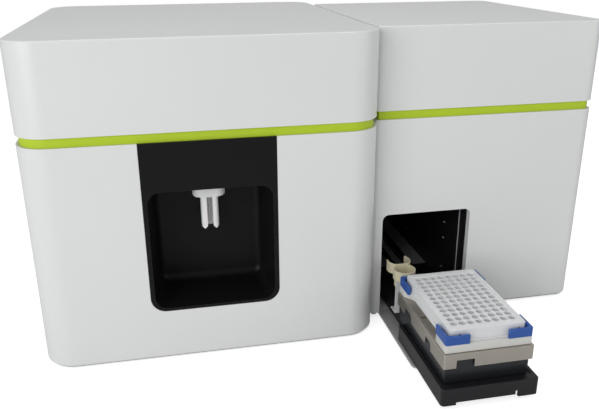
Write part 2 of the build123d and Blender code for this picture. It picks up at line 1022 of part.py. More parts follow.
with BuildPart() as tray_base:
    column(
        (mouth_centre, (tray_front + deck_back) / 2),
        (tray_width, tray_deck_length),
        tray_corner,
        tray_bottom,
        tray_top,
    )
    fillet(tray_base.faces().sort_by(Axis.Z)[-1].edges(), tray_edge_round)
    box_between(
        (mouth_centre - sled_width / 2, deck_back - 2 * tray_corner, tray_bottom),
        (mouth_centre + sled_width / 2, sled_back, tray_top),
    )
    box_between(
        (tray_left + tray_wall, tray_front + tray_wall, tray_bottom - 1.0),
        (tray_right - tray_wall, deck_back - tray_wall, roof_low),
        mode=Mode.SUBTRACT,
    )
    box_between(
        (mouth_centre - sled_width / 2 + tray_wall, deck_back - 2 * tray_wall, tray_bottom - 1.0),
        (mouth_centre + sled_width / 2 - tray_wall, sled_back + 1.0, sled_roof_low),
        mode=Mode.SUBTRACT,
    )
    column(
        (mouth_centre, block_front + block_length / 2),
        (tray_width - 2 * tray_corner, block_length + 2 * tray_corner),
        block_corner,
        tray_top - block_pocket,
        tray_top + 1.0,
        mode=Mode.SUBTRACT,
    )
    box_between(
        (tray_left + foot_recess_left, tray_front - 1.0, tray_bottom - 1.0),
        (tray_right - foot_recess_right, tray_front + tray_wall + 1.0, tray_bottom + foot_recess),
        mode=Mode.SUBTRACT,
    )
    box_between(
        (tray_right - foot_recess_right - foot_notch, tray_front - 1.0, tray_bottom - 1.0),
        (tray_right - foot_recess_right, tray_front + tray_wall + 1.0, tray_bottom + 2.5 * foot_recess),
        mode=Mode.SUBTRACT,
    )
save(tray_base, "tray_base")

carriage_roof = carriage_top - sheet

with BuildPart() as tray_block:
    column(
        (mouth_centre, block_front + block_length / 2),
        (block_width, block_length),
        block_corner,
        tray_top - block_pocket,
        carriage_roof,
    )
    chamfer(tray_block.faces().sort_by(Axis.Z)[-1].edges(), block_chamfer)
save(tray_block, "tray_block")

# Steel carriage: a folded sheet cap with cut-outs along its skirts
carriage_front = tray_front + carriage_front_gap
carriage_back = carriage_front + carriage_length
carriage_low = carriage_top - carriage_height


def skirt_notch(near, far, slope):
    """Cut one trapezoid out of both side skirts, near and far from the front edge."""
    with BuildSketch(Plane.YZ.offset(mouth_centre - carriage_width / 2 - 1.0)) as notch:
        with BuildLine():
            Polyline(
                (carriage_front + near, carriage_low - 1.0),
                (carriage_front + near, carriage_low + notch_height - slope),
                (carriage_front + near + slope, carriage_low + notch_height),
                (carriage_front + far, carriage_low + notch_height),
                (carriage_front + far, carriage_low - 1.0),
                close=True,
            )
        make_face()
    extrude(notch.sketch, amount=carriage_width + 2.0, mode=Mode.SUBTRACT)


with BuildPart() as steel_carriage:
    column(
        (mouth_centre, (carriage_front + carriage_back) / 2),
        (carriage_width, carriage_length),
        carriage_corner,
        carriage_low,
        carriage_top,
    )
    fillet(steel_carriage.faces().sort_by(Axis.Z)[-1].edges(), carriage_round)
    box_between(
        (mouth_centre - carriage_width / 2 + sheet, carriage_front + sheet, carriage_low - 1.0),
        (mouth_centre + carriage_width / 2 - sheet, carriage_back + 1.0, carriage_roof),
        mode=Mode.SUBTRACT,
    )
    skirt_notch(35.0, 51.0, 3.0)
    skirt_notch(92.0, 114.0, 4.0)
    box_between(
        (mouth_centre - carriage_width / 2 + front_notch_left, carriage_front - 1.0, carriage_low - 1.0),
        (
            mouth_centre - carriage_width / 2 + front_notch_right,
            carriage_front + sheet + 1.0,
            carriage_low + notch_height,
        ),
        mode=Mode.SUBTRACT,
    )
    for side in (-1, 1):
        with Locations((mouth_centre + side * slot_spacing / 2, carriage_front + slot_setback, carriage_top)):
            Box(slot_length, slot_width, 4 * sheet, mode=Mode.SUBTRACT)
save(steel_carriage, "steel_carriage")

# Plate holder with a waist, and the four corner guides that locate the plate
holder_width = plate_width + 2 * holder_rim
holder_length = plate_length + 2 * holder_rim
holder_front = tray_front + holder_front_gap
holder_low = carriage_top + face_gap
holder_face = holder_low + holder_height
plate_middle = (mouth_centre, holder_front + holder_length / 2)
plate_bottom = holder_face - holder_seat

with BuildPart() as plate_holder:
    with BuildSketch(Plane.XY.offset(holder_low)) as plan:
        with BuildLine():
            half = holder_width / 2
            waist = half - waist_depth
            front, back = holder_front, holder_front + holder_length
            right_side = Polyline(
                (mouth_centre + half, front),
                (mouth_centre + half, front + corner_arm_y - corner_round),
                (mouth_centre + waist, front + corner_arm_y + waist_slope),
                (mouth_centre + waist, back - corner_arm_y),
                (mouth_centre + half, back - corner_arm_y + waist_slope - corner_round),
                (mouth_centre + half, back),
            )
            mirror(right_side, Plane.YZ.offset(mouth_centre))
            Line((mouth_centre - half, front), (mouth_centre + half, front))
            Line((mouth_centre - half, back), (mouth_centre + half, back))
        make_face()
    extrude(plan.sketch, amount=holder_height)
    fillet(plate_holder.edges().filter_by(Axis.Z).group_by(Axis.Y)[0], corner_round)
    fillet(plate_holder.edges().filter_by(Axis.Z).group_by(Axis.Y)[-1], corner_round)
    column(
        plate_middle,
        (plate_width + 2 * face_gap, plate_length + 2 * face_gap),
        plate_corner,
        plate_bottom,
        holder_face + 1.0,
        mode=Mode.SUBTRACT,
    )
    column(
        plate_middle,
        (plate_width - 2 * holder_window_side, plate_length - 2 * holder_window_end),
        holder_window_corner,
        holder_low,
        holder_face,
        mode=Mode.SUBTRACT,
    )
save(plate_holder, "plate_holder")

with BuildPart() as plate_corners:
    column(
        plate_middle, (holder_width, holder_length), corner_round, holder_face, holder_face + corner_height
    )
    fillet(plate_corners.faces().sort_by(Axis.Z)[-1].edges(), 0.6)
    column(
        plate_middle,
        (plate_width + 2 * face_gap, plate_length + 2 * face_gap),
        plate_corner,
        holder_face,
        holder_face + corner_height,
        mode=Mode.SUBTRACT,
    )
    chamfer(plate_corners.faces().sort_by(Axis.Z)[-1].inner_wires()[0].edges(), corner_bevel)
    box_between(
        (mouth_centre - holder_width / 2 - 1.0, holder_front + corner_arm_y, holder_face - 1.0),
        (mouth_centre + holder_width / 2 + 1.0, holder_front + holder_length - corner_arm_y, lid_bottom),
        mode=Mode.SUBTRACT,
    )
    box_between(
        (mouth_centre - holder_width / 2 + corner_arm_x, holder_front - 1.0, holder_face - 1.0),
        (mouth_centre + holder_width / 2 - corner_arm_x, holder_front + holder_length + 1.0, lid_bottom),
        mode=Mode.SUBTRACT,
    )
save(plate_corners, "plate_corners")

# 96-well plate: flange, stepped body and a grid of round wells
with BuildPart() as microplate:
    column(plate_middle, (plate_width, plate_length), plate_corner, plate_bottom, plate_bottom + plate_flange)
    column(
        plate_middle,
        (plate_width - 2 * plate_step, plate_length - 2 * plate_step),
        plate_corner,
        plate_bottom,
        plate_bottom + plate_height,
    )
    for side in (-1, 1):
        with BuildSketch(Plane.XY.offset(plate_bottom)) as notch:
            with Locations(
                (
                    plate_middle[0] + side * (plate_width / 2 - plate_step),
                    plate_middle[1] + plate_length / 2 - plate_step,
                )
            ):
                Rectangle(plate_notch, plate_notch, rotation=45)
        extrude(notch.sketch, amount=plate_height, mode=Mode.SUBTRACT)
    column(
        plate_middle,
        (well_columns * well_pitch + plate_recess_margin, well_rows * well_pitch + plate_recess_margin),
        plate_step,
        plate_bottom + plate_height - plate_recess,
        plate_bottom + plate_height,
        mode=Mode.SUBTRACT,
    )
    with BuildSketch(Plane.XY.offset(plate_bottom + plate_height - well_depth)) as wells:
        with Locations(plate_middle):
            with GridLocations(well_pitch, well_pitch, well_columns, well_rows):
                Circle(well_radius)
    extrude(wells.sketch, amount=well_depth, mode=Mode.SUBTRACT)
save(microplate, "microplate")

# Ring cup and horned spring clip for a rinse tube, on a post behind the plate
ring_centre = (mouth_centre - ring_side, holder_front + holder_length + ring_radius + ring_plate_gap)
clip_centre = (ring_centre[0] - clip_side, ring_centre[1] + ring_radius + clip_gap)
clip_radius = ring_radius - 0.5
clip_low = holder_top + clip_rise - clip_height
clip_high = holder_top + clip_rise
post_x = ring_centre[0] - ring_radius + 4.0
post_left = post_x - holder_post / 2
post_right = post_x + holder_post / 2
post_front = ring_centre[1] - 5.0
post_low = holder_top - holder_post_length
mouth_slope = tan(radians(clip_mouth_angle))


def around_clip(side, angle, reach):
    """Give a point at an angle off the clip's mouth line and at a reach from its middle."""
    turn = radians(angle)
    return (clip_centre[0] + side * reach * sin(turn), clip_centre[1] + reach * cos(turn))


with BuildPart() as tube_holder:
    post(ring_centre, ring_radius, holder_top - ring_height, holder_top)
    post(clip_centre, clip_radius, clip_low, clip_high)
    box_between(
        (post_left, post_front, post_low), (post_right, ring_centre[1] + 1.0, holder_top - 2.0)
    )
    post(clip_centre, clip_radius - clip_wall, clip_low - 1.0, clip_high + 1.0, mode=Mode.SUBTRACT)
    with BuildSketch(Plane.XY.offset(clip_low - 1.0)) as clip_mouth:
        with BuildLine():
            Polyline(
                clip_centre,
                (clip_centre[0] - 2 * clip_radius * mouth_slope, clip_centre[1] + 2 * clip_radius),
                (clip_centre[0] + 2 * clip_radius * mouth_slope, clip_centre[1] + 2 * clip_radius),
                close=True,
            )
        make_face()
    extrude(clip_mouth.sketch, amount=clip_height + 2.0, mode=Mode.SUBTRACT)
    with BuildSketch(Plane.XY.offset(clip_low)) as horns:
        for side in (-1, 1):
            with BuildLine():
                Polyline(
                    around_clip(side, clip_mouth_angle, clip_radius - clip_wall),
                    around_clip(side, clip_mouth_angle + 10.0, clip_radius - clip_wall / 4),
                    around_clip(side, clip_mouth_angle + 8.0, clip_radius + horn_reach),
                    close=True,
                )
            make_face()
    extrude(horns.sketch, amount=clip_height)
    post(
        ring_centre,
        ring_radius - ring_wall,
        holder_top - ring_height + ring_floor,
        holder_top + 2 * clip_rise,
        mode=Mode.SUBTRACT,
    )
save(tube_holder, "tube_holder")

with BuildPart() as holder_bracket:
    box_between((post_left, post_front - sheet, tray_top), (post_right, post_front, post_low + bracket_lap))
    box_between(
        (post_left, post_front - sheet, tray_top), (post_right, post_front + bracket_foot, tray_top + sheet)
    )
save(holder_bracket, "holder_bracket")

# Rails, runners and screw that carry and drive the tray
rail_top = pan_top + rail_height
rail_front = tray_front + tray_travel + tray_wall + rail_end_gap
rail_back = sled_back + tray_travel + rail_groove
screw_height = pan_top + motor_size / 2
screw_line = (mouth_centre, screw_height)

with BuildPart() as tray_rails:
    for side in (-1, 1):
        x = mouth_centre + side * rail_spacing / 2
        with BuildSketch(facing(rail_back)) as section:
            with Locations((x, pan_top + rail_height / 2)):
                Rectangle(rail_width, rail_height)
            for edge in (-1, 1):
                with Locations((x + edge * rail_width / 2, pan_top + rail_height / 2)):
                    Rectangle(rail_groove, rail_groove, rotation=45, mode=Mode.SUBTRACT)
        extrude(section.sketch, amount=rail_back - rail_front)
save(tray_rails, "tray_rails")

with BuildPart() as tray_runners:
    for side in (-1, 1):
        x = mouth_centre + side * rail_spacing / 2
        for back in (sled_back, sled_back - runner_length - runner_gap):
            box_between(
                (x - runner_width / 2, back - runner_length, pan_top + 2.0),
                (x + runner_width / 2, back, sled_roof_low),
            )
            box_between(
                (x - rail_width / 2 - face_gap, back - runner_length - 1.0, pan_top),
                (x + rail_width / 2 + face_gap, back + 1.0, rail_top + face_gap),
                mode=Mode.SUBTRACT,
            )
save(tray_runners, "tray_runners")

nut_back = sled_back - runner_gap
nut_front = nut_back - nut_length

with BuildPart() as screw_nut:
    box_between(
        (mouth_centre - nut_width / 2, nut_front, pan_top + 3.0),
        (mouth_centre + nut_width / 2, nut_back, sled_roof_low),
    )
    lying_rod(screw_line, screw_radius + running_gap, nut_front - 1.0, nut_back + 1.0, mode=Mode.SUBTRACT)
save(screw_nut, "screw_nut")

motor_front = rail_back + rail_end_gap
support_back = rail_front + support_length

with BuildPart() as screw_support:
    box_between(
        (mouth_centre - support_width / 2, rail_front, pan_top),
        (mouth_centre + support_width / 2, support_back, tray_top - 5.0),
    )
    lying_rod(
        screw_line, screw_radius + running_gap, rail_front - 1.0, support_back + 1.0, mode=Mode.SUBTRACT
    )
save(screw_support, "screw_support")

with BuildPart() as lead_screw:
    lying_rod(screw_line, screw_radius, rail_front + 1.0, motor_front - face_gap)
    lying_rod(screw_line, screw_end, motor_front - 1.0, motor_front + screw_end_length)
save(lead_screw, "lead_screw")

with BuildPart() as tray_motor:
    column(
        (mouth_centre, motor_front + motor_length / 2),
        (motor_size, motor_length),
        motor_corner,
        pan_top,
        pan_top + motor_size,
    )
    lying_rod(
        screw_line,
        screw_end + running_gap,
        motor_front - 1.0,
        motor_front + screw_end_length + 1.0,
        mode=Mode.SUBTRACT,
    )
save(tray_motor, "tray_motor")

# Needle gantry: a folded bridge, a carriage along it and a needle through the carriage
bridge_left = loader.left + skin + sheet + panel_seat
bridge_right = loader.right - shell_wall - bridge_end_gap
beam_bottom = band_foot - beam_drop - beam_height
beam_top = beam_bottom + beam_height
beam_front = needle_line + beam_setback
beam_back = beam_front + beam_depth
park_x = mouth_left + needle_park - mouth_offset
needle_place = (park_x, needle_line)
carrier_low = beam_bottom - carriage_block_lip
carrier_high = beam_top + carriage_block_lip
needle_low = beam_bottom - needle_reach
knob_low = carrier_high + needle_stroke + needle_neck

with BuildPart() as needle_bridge:
    with BuildSketch(facing(beam_back)) as bridge:
        with BuildLine():
            Polyline(
                (bridge_left, pan_top),
                (bridge_left, beam_top),
                (bridge_right, beam_top),
                (bridge_right, pan_top),
                (bridge_right - bridge_sheet, pan_top),
                (bridge_right - bridge_sheet, beam_bottom),
                (bridge_left + bridge_sheet, beam_bottom),
                (bridge_left + bridge_sheet, pan_top),
                close=True,
            )
        make_face()
    extrude(bridge.sketch, amount=beam_depth)
save(needle_bridge, "needle_bridge")

with BuildPart() as needle_carrier:
    box_between(
        (park_x - carriage_block_width / 2, needle_line - carriage_block_front, carrier_low),
        (park_x + carriage_block_width / 2, beam_back + 6.0, carrier_high),
    )
    box_between(
        (park_x - carriage_block_width, beam_front - face_gap, beam_bottom - face_gap),
        (park_x + carriage_block_width, beam_back + face_gap, beam_top + face_gap),
        mode=Mode.SUBTRACT,
    )
    post(needle_place, needle_radius + running_gap, carrier_low - 1.0, carrier_high + 1.0, mode=Mode.SUBTRACT)
save(needle_carrier, "needle_carrier")

with BuildPart() as loader_needle:
    post(needle_place, needle_radius, needle_low, knob_low)
    post(needle_place, needle_knob, knob_low, knob_low + needle_knob_height)
save(loader_needle, "loader_needle")

wash_top = needle_low - needle_stroke + wash_rise

with BuildPart() as wash_station:
    post(needle_place, wash_radius, pan_top, wash_top)
    post(needle_place, wash_bore, wash_top - wash_depth, wash_top + 1.0, mode=Mode.SUBTRACT)
    fillet(wash_station.faces().sort_by(Axis.Z)[-1].outer_wire().edges(), wash_round)
save(wash_station, "wash_station")

# Optical bench on posts, with the optics that stand on it
bench_front = main.front + bench_front_gap
bench_back = main.back - shell_wall - bench_back_gap
bench_left = main.left + bench_side
bench_right = main.right - bench_side
bench_middle = ((bench_left + bench_right) / 2, (bench_front + bench_back) / 2)
bench_low = bench_height
bench_top = bench_low + bench_sheet
beam_line = bench_top + beam_rise
cell = (bench_middle[0] - cell_shift, bench_front + cell_setback)
window_low = beam_line - cell_window / 2
window_high = beam_line + cell_window / 2

with BuildPart() as optical_bench:
    column(
        bench_middle,
        (bench_right - bench_left, bench_back - bench_front),
        bench_corner,
        bench_low,
        bench_top,
    )
    chamfer(optical_bench.faces().sort_by(Axis.Z)[-1].edges(), 1.0)
    for x in (bench_left + bench_post_inset, bench_right - bench_post_inset):
        for y in (bench_front + bench_post_inset, bench_back - bench_post_inset):
            post((x, y), bench_post, pan_top, bench_low)
save(optical_bench, "optical_bench")

with BuildPart() as flow_cell:
    column(cell, (cell_size, cell_size), cell_corner, bench_top, window_low)
    column(cell, (cell_size, cell_size), cell_corner, window_high, window_high + cell_cap)
    for x in (-cell_post_spacing / 2, cell_post_spacing / 2):
        for y in (-cell_post_spacing / 2, cell_post_spacing / 2):
            post((cell[0] + x, cell[1] + y), cell_post, window_low, window_high)
    post(cell, cell_bore, bench_top + cell_bore_floor, window_high + cell_cap + 1.0, mode=Mode.SUBTRACT)
save(flow_cell, "flow_cell")

with BuildPart() as cuvette:
    box_between(
        (cell[0] - cuvette_size / 2, cell[1] - cuvette_size / 2, window_low),
        (cell[0] + cuvette_size / 2, cell[1] + cuvette_size / 2, window_high),
    )
    post(cell, cuvette_bore, window_low - 1.0, window_high + 1.0, mode=Mode.SUBTRACT)
save(cuvette, "cuvette")


def laser_head(y, left, length, width):
    """Add a laser head with cooling fins that fires along X at the flow cell."""
    box_between((left, y - width / 2, bench_top), (left + length, y + width / 2, beam_line + width / 2))
    for index in range(fin_count):
        x = left + fin_margin + index * (length - 2 * fin_margin) / fin_count
        box_between(
            (x, y - width / 2 - 1.0, beam_line),
            (x + fin_slot, y + width / 2 + 1.0, beam_line + width),
            mode=Mode.SUBTRACT,
        )
    cross_rod((y, beam_line), laser_nose_radius, left + length, left + length + laser_nose)


laser_left = bench_left + laser_inset
laser_length = cell[0] - cell_size / 2 - laser_gap - laser_nose - laser_left

with BuildPart() as lasers:
    laser_head(cell[1], laser_left, laser_length, laser_width)
    laser_head(
        cell[1] - second_laser_pitch, laser_left, laser_length - second_laser_shorter, second_laser_width
    )
save(lasers, "lasers")

lens_front = cell[1] + lens_setback
lens_back = lens_front + lens_length
lens_middle = (lens_front + lens_back) / 2

with BuildPart() as collection_lens:
    lying_rod((cell[0], beam_line), lens_radius, lens_front, lens_back)
    lying_rod((cell[0], beam_line), lens_ring, lens_front - lens_ring_length, lens_front)
    box_between(
        (cell[0] - lens_stand_width / 2, lens_middle - lens_stand_length / 2, bench_top),
        (cell[0] + lens_stand_width / 2, lens_middle + lens_stand_length / 2, beam_line - lens_bore - 1.0),
    )
    lying_rod(
        (cell[0], beam_line),
        lens_bore,
        lens_front - lens_ring_length - 1.0,
        lens_back + 1.0,
        mode=Mode.SUBTRACT,
    )
save(collection_lens, "collection_lens")

detector_line = cell[1] + detector_setback
detector_front = detector_line + detector_gap
detector_places = [cell[0] + detector_shift + index * detector_pitch for index in range(detector_count)]

with BuildPart() as filter_mounts:
    for x in detector_places:
        with Locations(Location((x, detector_line, bench_top + filter_height / 2), (0, 0, 45))):
            Box(filter_width, filter_sheet, filter_height)
            with Locations((0, 0, beam_line - bench_top - filter_height / 2)):
                Box(filter_window, filter_sheet + 3.0, filter_window, mode=Mode.SUBTRACT)
save(filter_mounts, "filter_mounts")

with BuildPart() as detectors:
    for x in detector_places:
        box_between(
            (x - detector_width / 2, detector_front, bench_top),
            (x + detector_width / 2, detector_front + detector_length, beam_line + detector_rise),
        )
        lying_rod((x, beam_line), snout_radius, detector_front - snout_length, detector_front)
save(detectors, "detectors")

with BuildPart() as optics_cover:
    column(
        bench_middle,
        (bench_right - bench_left - 2 * cover_inset, bench_back - bench_front - 2 * cover_inset),
        cover_corner,
        bench_top,
        bench_top + cover_height,
    )
    fillet(optics_cover.faces().sort_by(Axis.Z)[-1].edges(), cover_round)
    offset(amount=-cover_sheet, openings=optics_cover.faces().sort_by(Axis.Z)[0])
save(optics_cover, "optics_cover")

# Syringe pump beside the alcove
pump = (main.left + pump_inset, main.front + pump_setback)
pump_left = pump[0] - pump_width / 2
pump_right = pump[0] + pump_width / 2
pump_high = syringe_high + pump_head_height
column_front = pump[1] + pump_column_front
plunger_head = syringe_high - syringe_roof - piston_start
arm_high = syringe_low - plunger_below
arm_low = arm_high - plunger_arm_height

with BuildPart() as syringe_pump:
    box_between((pump_left, column_front, pan_top), (pump_right, pump[1] + pump_column_back, pump_high))
    box_between(
        (pump[0] - pump_head_width / 2, pump[1] - pump_column_front, syringe_high),
        (pump[0] + pump_head_width / 2, column_front + 1.0, pump_high),
    )
    box_between(
        (pump[0] - pump_slot_width / 2, column_front - 2.0, pump_slot_floor),
        (pump[0] + pump_slot_width / 2, column_front + pump_slot_depth, syringe_low + 4.0),
        mode=Mode.SUBTRACT,
    )
    post(pump, syringe_port, syringe_high - 1.0, syringe_high + syringe_port_depth, mode=Mode.SUBTRACT)
save(syringe_pump, "syringe_pump")

with BuildPart() as syringe_barrel:
    post(pump, syringe_radius, syringe_low, syringe_high)
    post(
        pump,
        syringe_radius - syringe_wall,
        syringe_low - 1.0,
        syringe_high - syringe_roof,
        mode=Mode.SUBTRACT,
    )
save(syringe_barrel, "syringe_barrel")

with BuildPart() as syringe_plunger:
    post(pump, syringe_radius - syringe_wall - running_gap, plunger_head - piston_height, plunger_head)
    post(pump, plunger_rod, arm_high, plunger_head - piston_height)
    box_between(
        (pump[0] - plunger_arm_width / 2, pump[1] - plunger_arm_front, arm_low),
        (pump[0] + plunger_arm_width / 2, pump[1] + plunger_arm_back, arm_high),
    )
save(syringe_plunger, "syringe_plunger")

# Valve block, sheath filter and power supply
alcove_right = fascia_centre + alcove_width / 2 + alcove_wall
valve = ((alcove_right + main.right - shell_wall) / 2, main.front + valve_setback)
valve_low = pan_top + valve_base_height
valve_high = pan_top + valve_height
filter_place = (valve[0], valve[1] + valve_depth / 4)
filter_low = valve_high + filter_stem_low

with BuildPart() as valve_block:
    box_between(
        (valve[0] - valve_width / 2, valve[1] - valve_depth / 2, pan_top),
        (valve[0] + valve_width / 2, valve[1] + valve_depth / 2, valve_low),
    )
    box_between(
        (valve[0] - valve_width / 2, valve[1], valve_low),
        (valve[0] + valve_width / 2, valve[1] + valve_depth / 2, valve_high),
    )
    for index in (-1, 0, 1):
        for row in (0, 1):
            centre = (valve[0] + index * valve_pitch, valve_low + valve_low_row + row * valve_row_pitch)
            lying_rod(centre, valve_radius, valve[1] - valve_reach, valve[1])
save(valve_block, "valve_block")

with BuildPart() as sheath_filter:
    post(filter_place, filter_radius, filter_low, filter_low + filter_body)
    fillet(sheath_filter.edges().filter_by(GeomType.CIRCLE), filter_round)
    post(filter_place, filter_stem, valve_high, filter_low + filter_body + filter_stem_high)
save(sheath_filter, "sheath_filter")

supply_left = main.left + supply_inset
supply_back = main.back - shell_wall - supply_back_gap
supply_front = supply_back - supply_length
supply_top = pan_top + supply_height

with BuildPart() as power_supply:
    box_between((supply_left, supply_front, pan_top), (supply_left + supply_width, supply_back, supply_top))
    for index in range(supply_slot_count):
        y = supply_front + (index + 1) * supply_slot_pitch
        box_between(
            (supply_left + supply_margin, y, supply_top - supply_slot_depth),
            (supply_left + supply_width - supply_margin, y + supply_slot, supply_top + 1.0),
            mode=Mode.SUBTRACT,
        )
save(power_supply, "power_supply")


# Circuit boards on standoffs
def board(left, wall, front, back, low, high, chips):
    """Add an upright board in the YZ plane, chips on its left face and standoffs to a wall."""
    box_between((left, front, low), (left + board_sheet, back, high))
    for across, up, wide, tall, thick in chips:
        y = front + across * (back - front)
        z = low + up * (high - low)
        box_between((left - thick, y, z), (left, y + wide, z + tall))
    for y in (front + board_hole_inset, back - board_hole_inset):
        for z in (low + board_hole_rise, high - board_hole_rise):
            cross_rod((y, z), board_standoff, left + board_sheet, wall - face_gap)


with BuildPart() as circuit_boards:
    board(
        main.right - shell_wall - main_board_gap,
        main.right - shell_wall,
        main.front + main_board_front,
        main.back - main_board_back,
        main_board_low,
        bench_low - main_board_headroom,
        [(0.1, 0.2, 30.0, 30.0, 3.0), (0.35, 0.5, 40.0, 24.0, 4.0), (0.6, 0.15, 20.0, 60.0, 10.0)],
    )
    board(
        loader.right - shell_wall - loader_board_gap,
        loader.right - shell_wall,
        loader.front + loader_board_front,
        loader.back - loader_board_back,
        loader_board_low,
        beam_bottom - loader_board_headroom,
        [(0.1, 0.15, 24.0, 24.0, 3.0), (0.5, 0.6, 30.0, 18.0, 4.0), (0.75, 0.1, 18.0, 40.0, 9.0)],
    )
save(circuit_boards, "circuit_boards")


# Rear panels with vents
def rear_panel(case, fan, size, vents):
    """Add a sheet behind the rear window, with slots over the fan and a row of vents."""
    outer = case.back - shell_wall - panel_seat
    half = (case.right - case.left) / 2 - rear_margin + panel_lap
    middle = (case.left + case.right) / 2
    box_between(
        (middle - half, outer - sheet, shell_bottom + rear_sill - panel_lap),
        (middle + half, outer, band_foot - slip_gap),
    )
    slots = int(size / fan_slot_pitch)
    for index in range(slots):
        x = fan[0] - size / 2 + vent_slot + index * fan_slot_pitch
        reach = size / 2 - fan_slot_margin - abs(index - (slots - 1) / 2) * 3.0
        box_between(
            (x - vent_slot / 2, outer - sheet - 1.0, fan[1] - reach),
            (x + vent_slot / 2, outer + 1.0, fan[1] + reach),
            mode=Mode.SUBTRACT,
        )
    for x, z, width in vents:
        box_between(
            (x - width / 2, outer - sheet - 1.0, z - vent_slot / 2),
            (x + width / 2, outer + 1.0, z + vent_slot / 2),
            mode=Mode.SUBTRACT,
        )


main_fan = (main.right - fan_inset, band_foot - fan_drop - fan_size / 2)
loader_fan = (loader.right - small_fan_inset, band_foot - small_fan_drop - small_fan_size / 2)
service_z = shell_bottom + service_height
inlet_x = main.left + inlet_inset
switch_x = inlet_x + switch_spacing
data_x = main.right - data_inset
fluid_places = [(main.left + fluid_inset + index * fluid_pitch, service_z) for index in range(fluid_count)]
main_vents = [
    (
        main.left + main_vent_inset + across * main_vent_pitch,
        band_foot - vent_drop - row * vent_row_pitch,
        main_vent_width,
    )
    for across in range(main_vent_columns)
    for row in range(main_vent_rows)
]
loader_vents = [
    (
        loader.left + loader_vent_inset,
        shell_bottom + loader_vent_low + row * vent_row_pitch,
        loader_vent_width,
    )
    for row in range(loader_vent_rows)
]
panel_back = main.back - shell_wall - panel_seat


def panel_cut(middle, width, height):
    """Cut a rectangle for a fitting through the main rear panel."""
    box_between(
        (middle - width / 2, panel_back - 2 * sheet, service_z - height / 2),
        (middle + width / 2, panel_back + 1.0, service_z + height / 2),
        mode=Mode.SUBTRACT,
    )


with BuildPart() as rear_panels:
    rear_panel(main, main_fan, fan_size, main_vents)
    rear_panel(loader, loader_fan, small_fan_size, loader_vents)
    panel_cut(inlet_x, inlet_width, inlet_height)
    panel_cut(switch_x, switch_width, switch_height)
    panel_cut(data_x, data_width, data_height)
    for place in fluid_places:
        lying_rod(place, fluid_hole, panel_back - 2 * sheet, panel_back + 1.0, mode=Mode.SUBTRACT)
save(rear_panels, "rear_panels")

# Fans: a square frame round a bladed rotor
with BuildPart() as fan_frames:
    for case, fan, size in ((main, main_fan, fan_size), (loader, loader_fan, small_fan_size)):
        back = case.back - shell_wall - panel_seat - sheet
        with BuildSketch(facing(back)) as outline:
            with Locations(fan):
                RectangleRounded(size, size, fan_corner)
                Circle(size / 2 - fan_rim, mode=Mode.SUBTRACT)
        extrude(outline.sketch, amount=fan_depth)
        with BuildSketch(facing(back)) as cross:
            with Locations(fan):
                Rectangle(size - fan_rim, fan_spoke)
                Rectangle(fan_spoke, size - fan_rim)
                Circle(size * fan_hub)
        extrude(cross.sketch, amount=fan_spoke_depth)
        lying_rod(fan, fan_shaft, back - fan_depth + fan_shaft_setback, back)
save(fan_frames, "fan_frames")


def make_fan_rotor(case, fan, size, name):
    """Make a rotor whose blades stand at a pitch round a hub."""
    back = case.back - shell_wall - panel_seat - sheet - fan_spoke_depth - 1.0
    front = back - fan_depth + fan_shaft_setback
    radius = size / 2 - fan_rim - blade_gap
    hub = size * fan_hub
    with BuildPart() as rotor:
        lying_rod(fan, hub, front, back)
        lying_rod(fan, fan_shaft + running_gap, front + fan_rim, back + 1.0, mode=Mode.SUBTRACT)
        with Locations(Location((fan[0], (front + back) / 2, fan[1]), (90, 0, 0))):
            with PolarLocations((hub + radius) / 2 - 0.5, blade_count):
                with Locations(Location((0, 0, 0), (blade_pitch, 0, 0))):
                    Box(radius - hub + 1.0, blade_sheet, blade_depth)
    save(rotor, name)


make_fan_rotor(main, main_fan, fan_size, "main_fan_rotor")
make_fan_rotor(loader, loader_fan, small_fan_size, "loader_fan_rotor")


# Rear services: mains inlet, rocker switch, data sockets and hose fittings
def fitting_body(middle, width, height, depth, proud):
    """Add a block that fills a panel cut with a clearance all round."""
    box_between(
        (middle - width / 2 + inlet_gap, panel_back - depth, service_z - height / 2 + inlet_gap),
        (middle + width / 2 - inlet_gap, panel_back + proud, service_z + height / 2 - inlet_gap),
    )


with BuildPart() as power_entry:
    with BuildSketch(facing(panel_back + switch_bezel)) as flange:
        with Locations(((inlet_x + switch_x) / 2, service_z)):
            RectangleRounded(switch_spacing + 2 * bezel_margin, bezel_height, bezel_corner)
    extrude(flange.sketch, amount=switch_bezel)
    fitting_body(inlet_x, inlet_width, inlet_height, inlet_depth, 0)
    fitting_body(switch_x, switch_width, switch_height, switch_depth, 0)
    with BuildSketch(facing(panel_back + switch_bezel + 1.0)) as socket:
        with Locations((inlet_x, service_z)):
            Rectangle(socket_width, socket_height)
        chamfer(socket.vertices().group_by(Axis.Y)[-1], socket_chamfer)
    extrude(socket.sketch, amount=socket_depth + switch_bezel + 1.0, mode=Mode.SUBTRACT)
    for x, z in ((-7.0, -2.0), (0.0, 2.5), (7.0, -2.0)):
        box_between(
            (
                inlet_x + x - prong_width / 2,
                panel_back - socket_depth - 0.5,
                service_z + z - prong_height / 2,
            ),
            (inlet_x + x + prong_width / 2, panel_back - switch_bezel, service_z + z + prong_height / 2),
        )
    box_between(
        (switch_x - rocker_bay_width / 2, panel_back - rocker_bay_depth, service_z - rocker_bay_height / 2),
        (
            switch_x + rocker_bay_width / 2,
            panel_back + switch_bezel + 1.0,
            service_z + rocker_bay_height / 2,
        ),
        mode=Mode.SUBTRACT,
    )
    cross_rod(
        (panel_back - rocker_pin_depth, service_z),
        rocker_pin,
        switch_x - rocker_bay_width / 2 - 1.0,
        switch_x + rocker_bay_width / 2 + 1.0,
    )
save(power_entry, "power_entry")

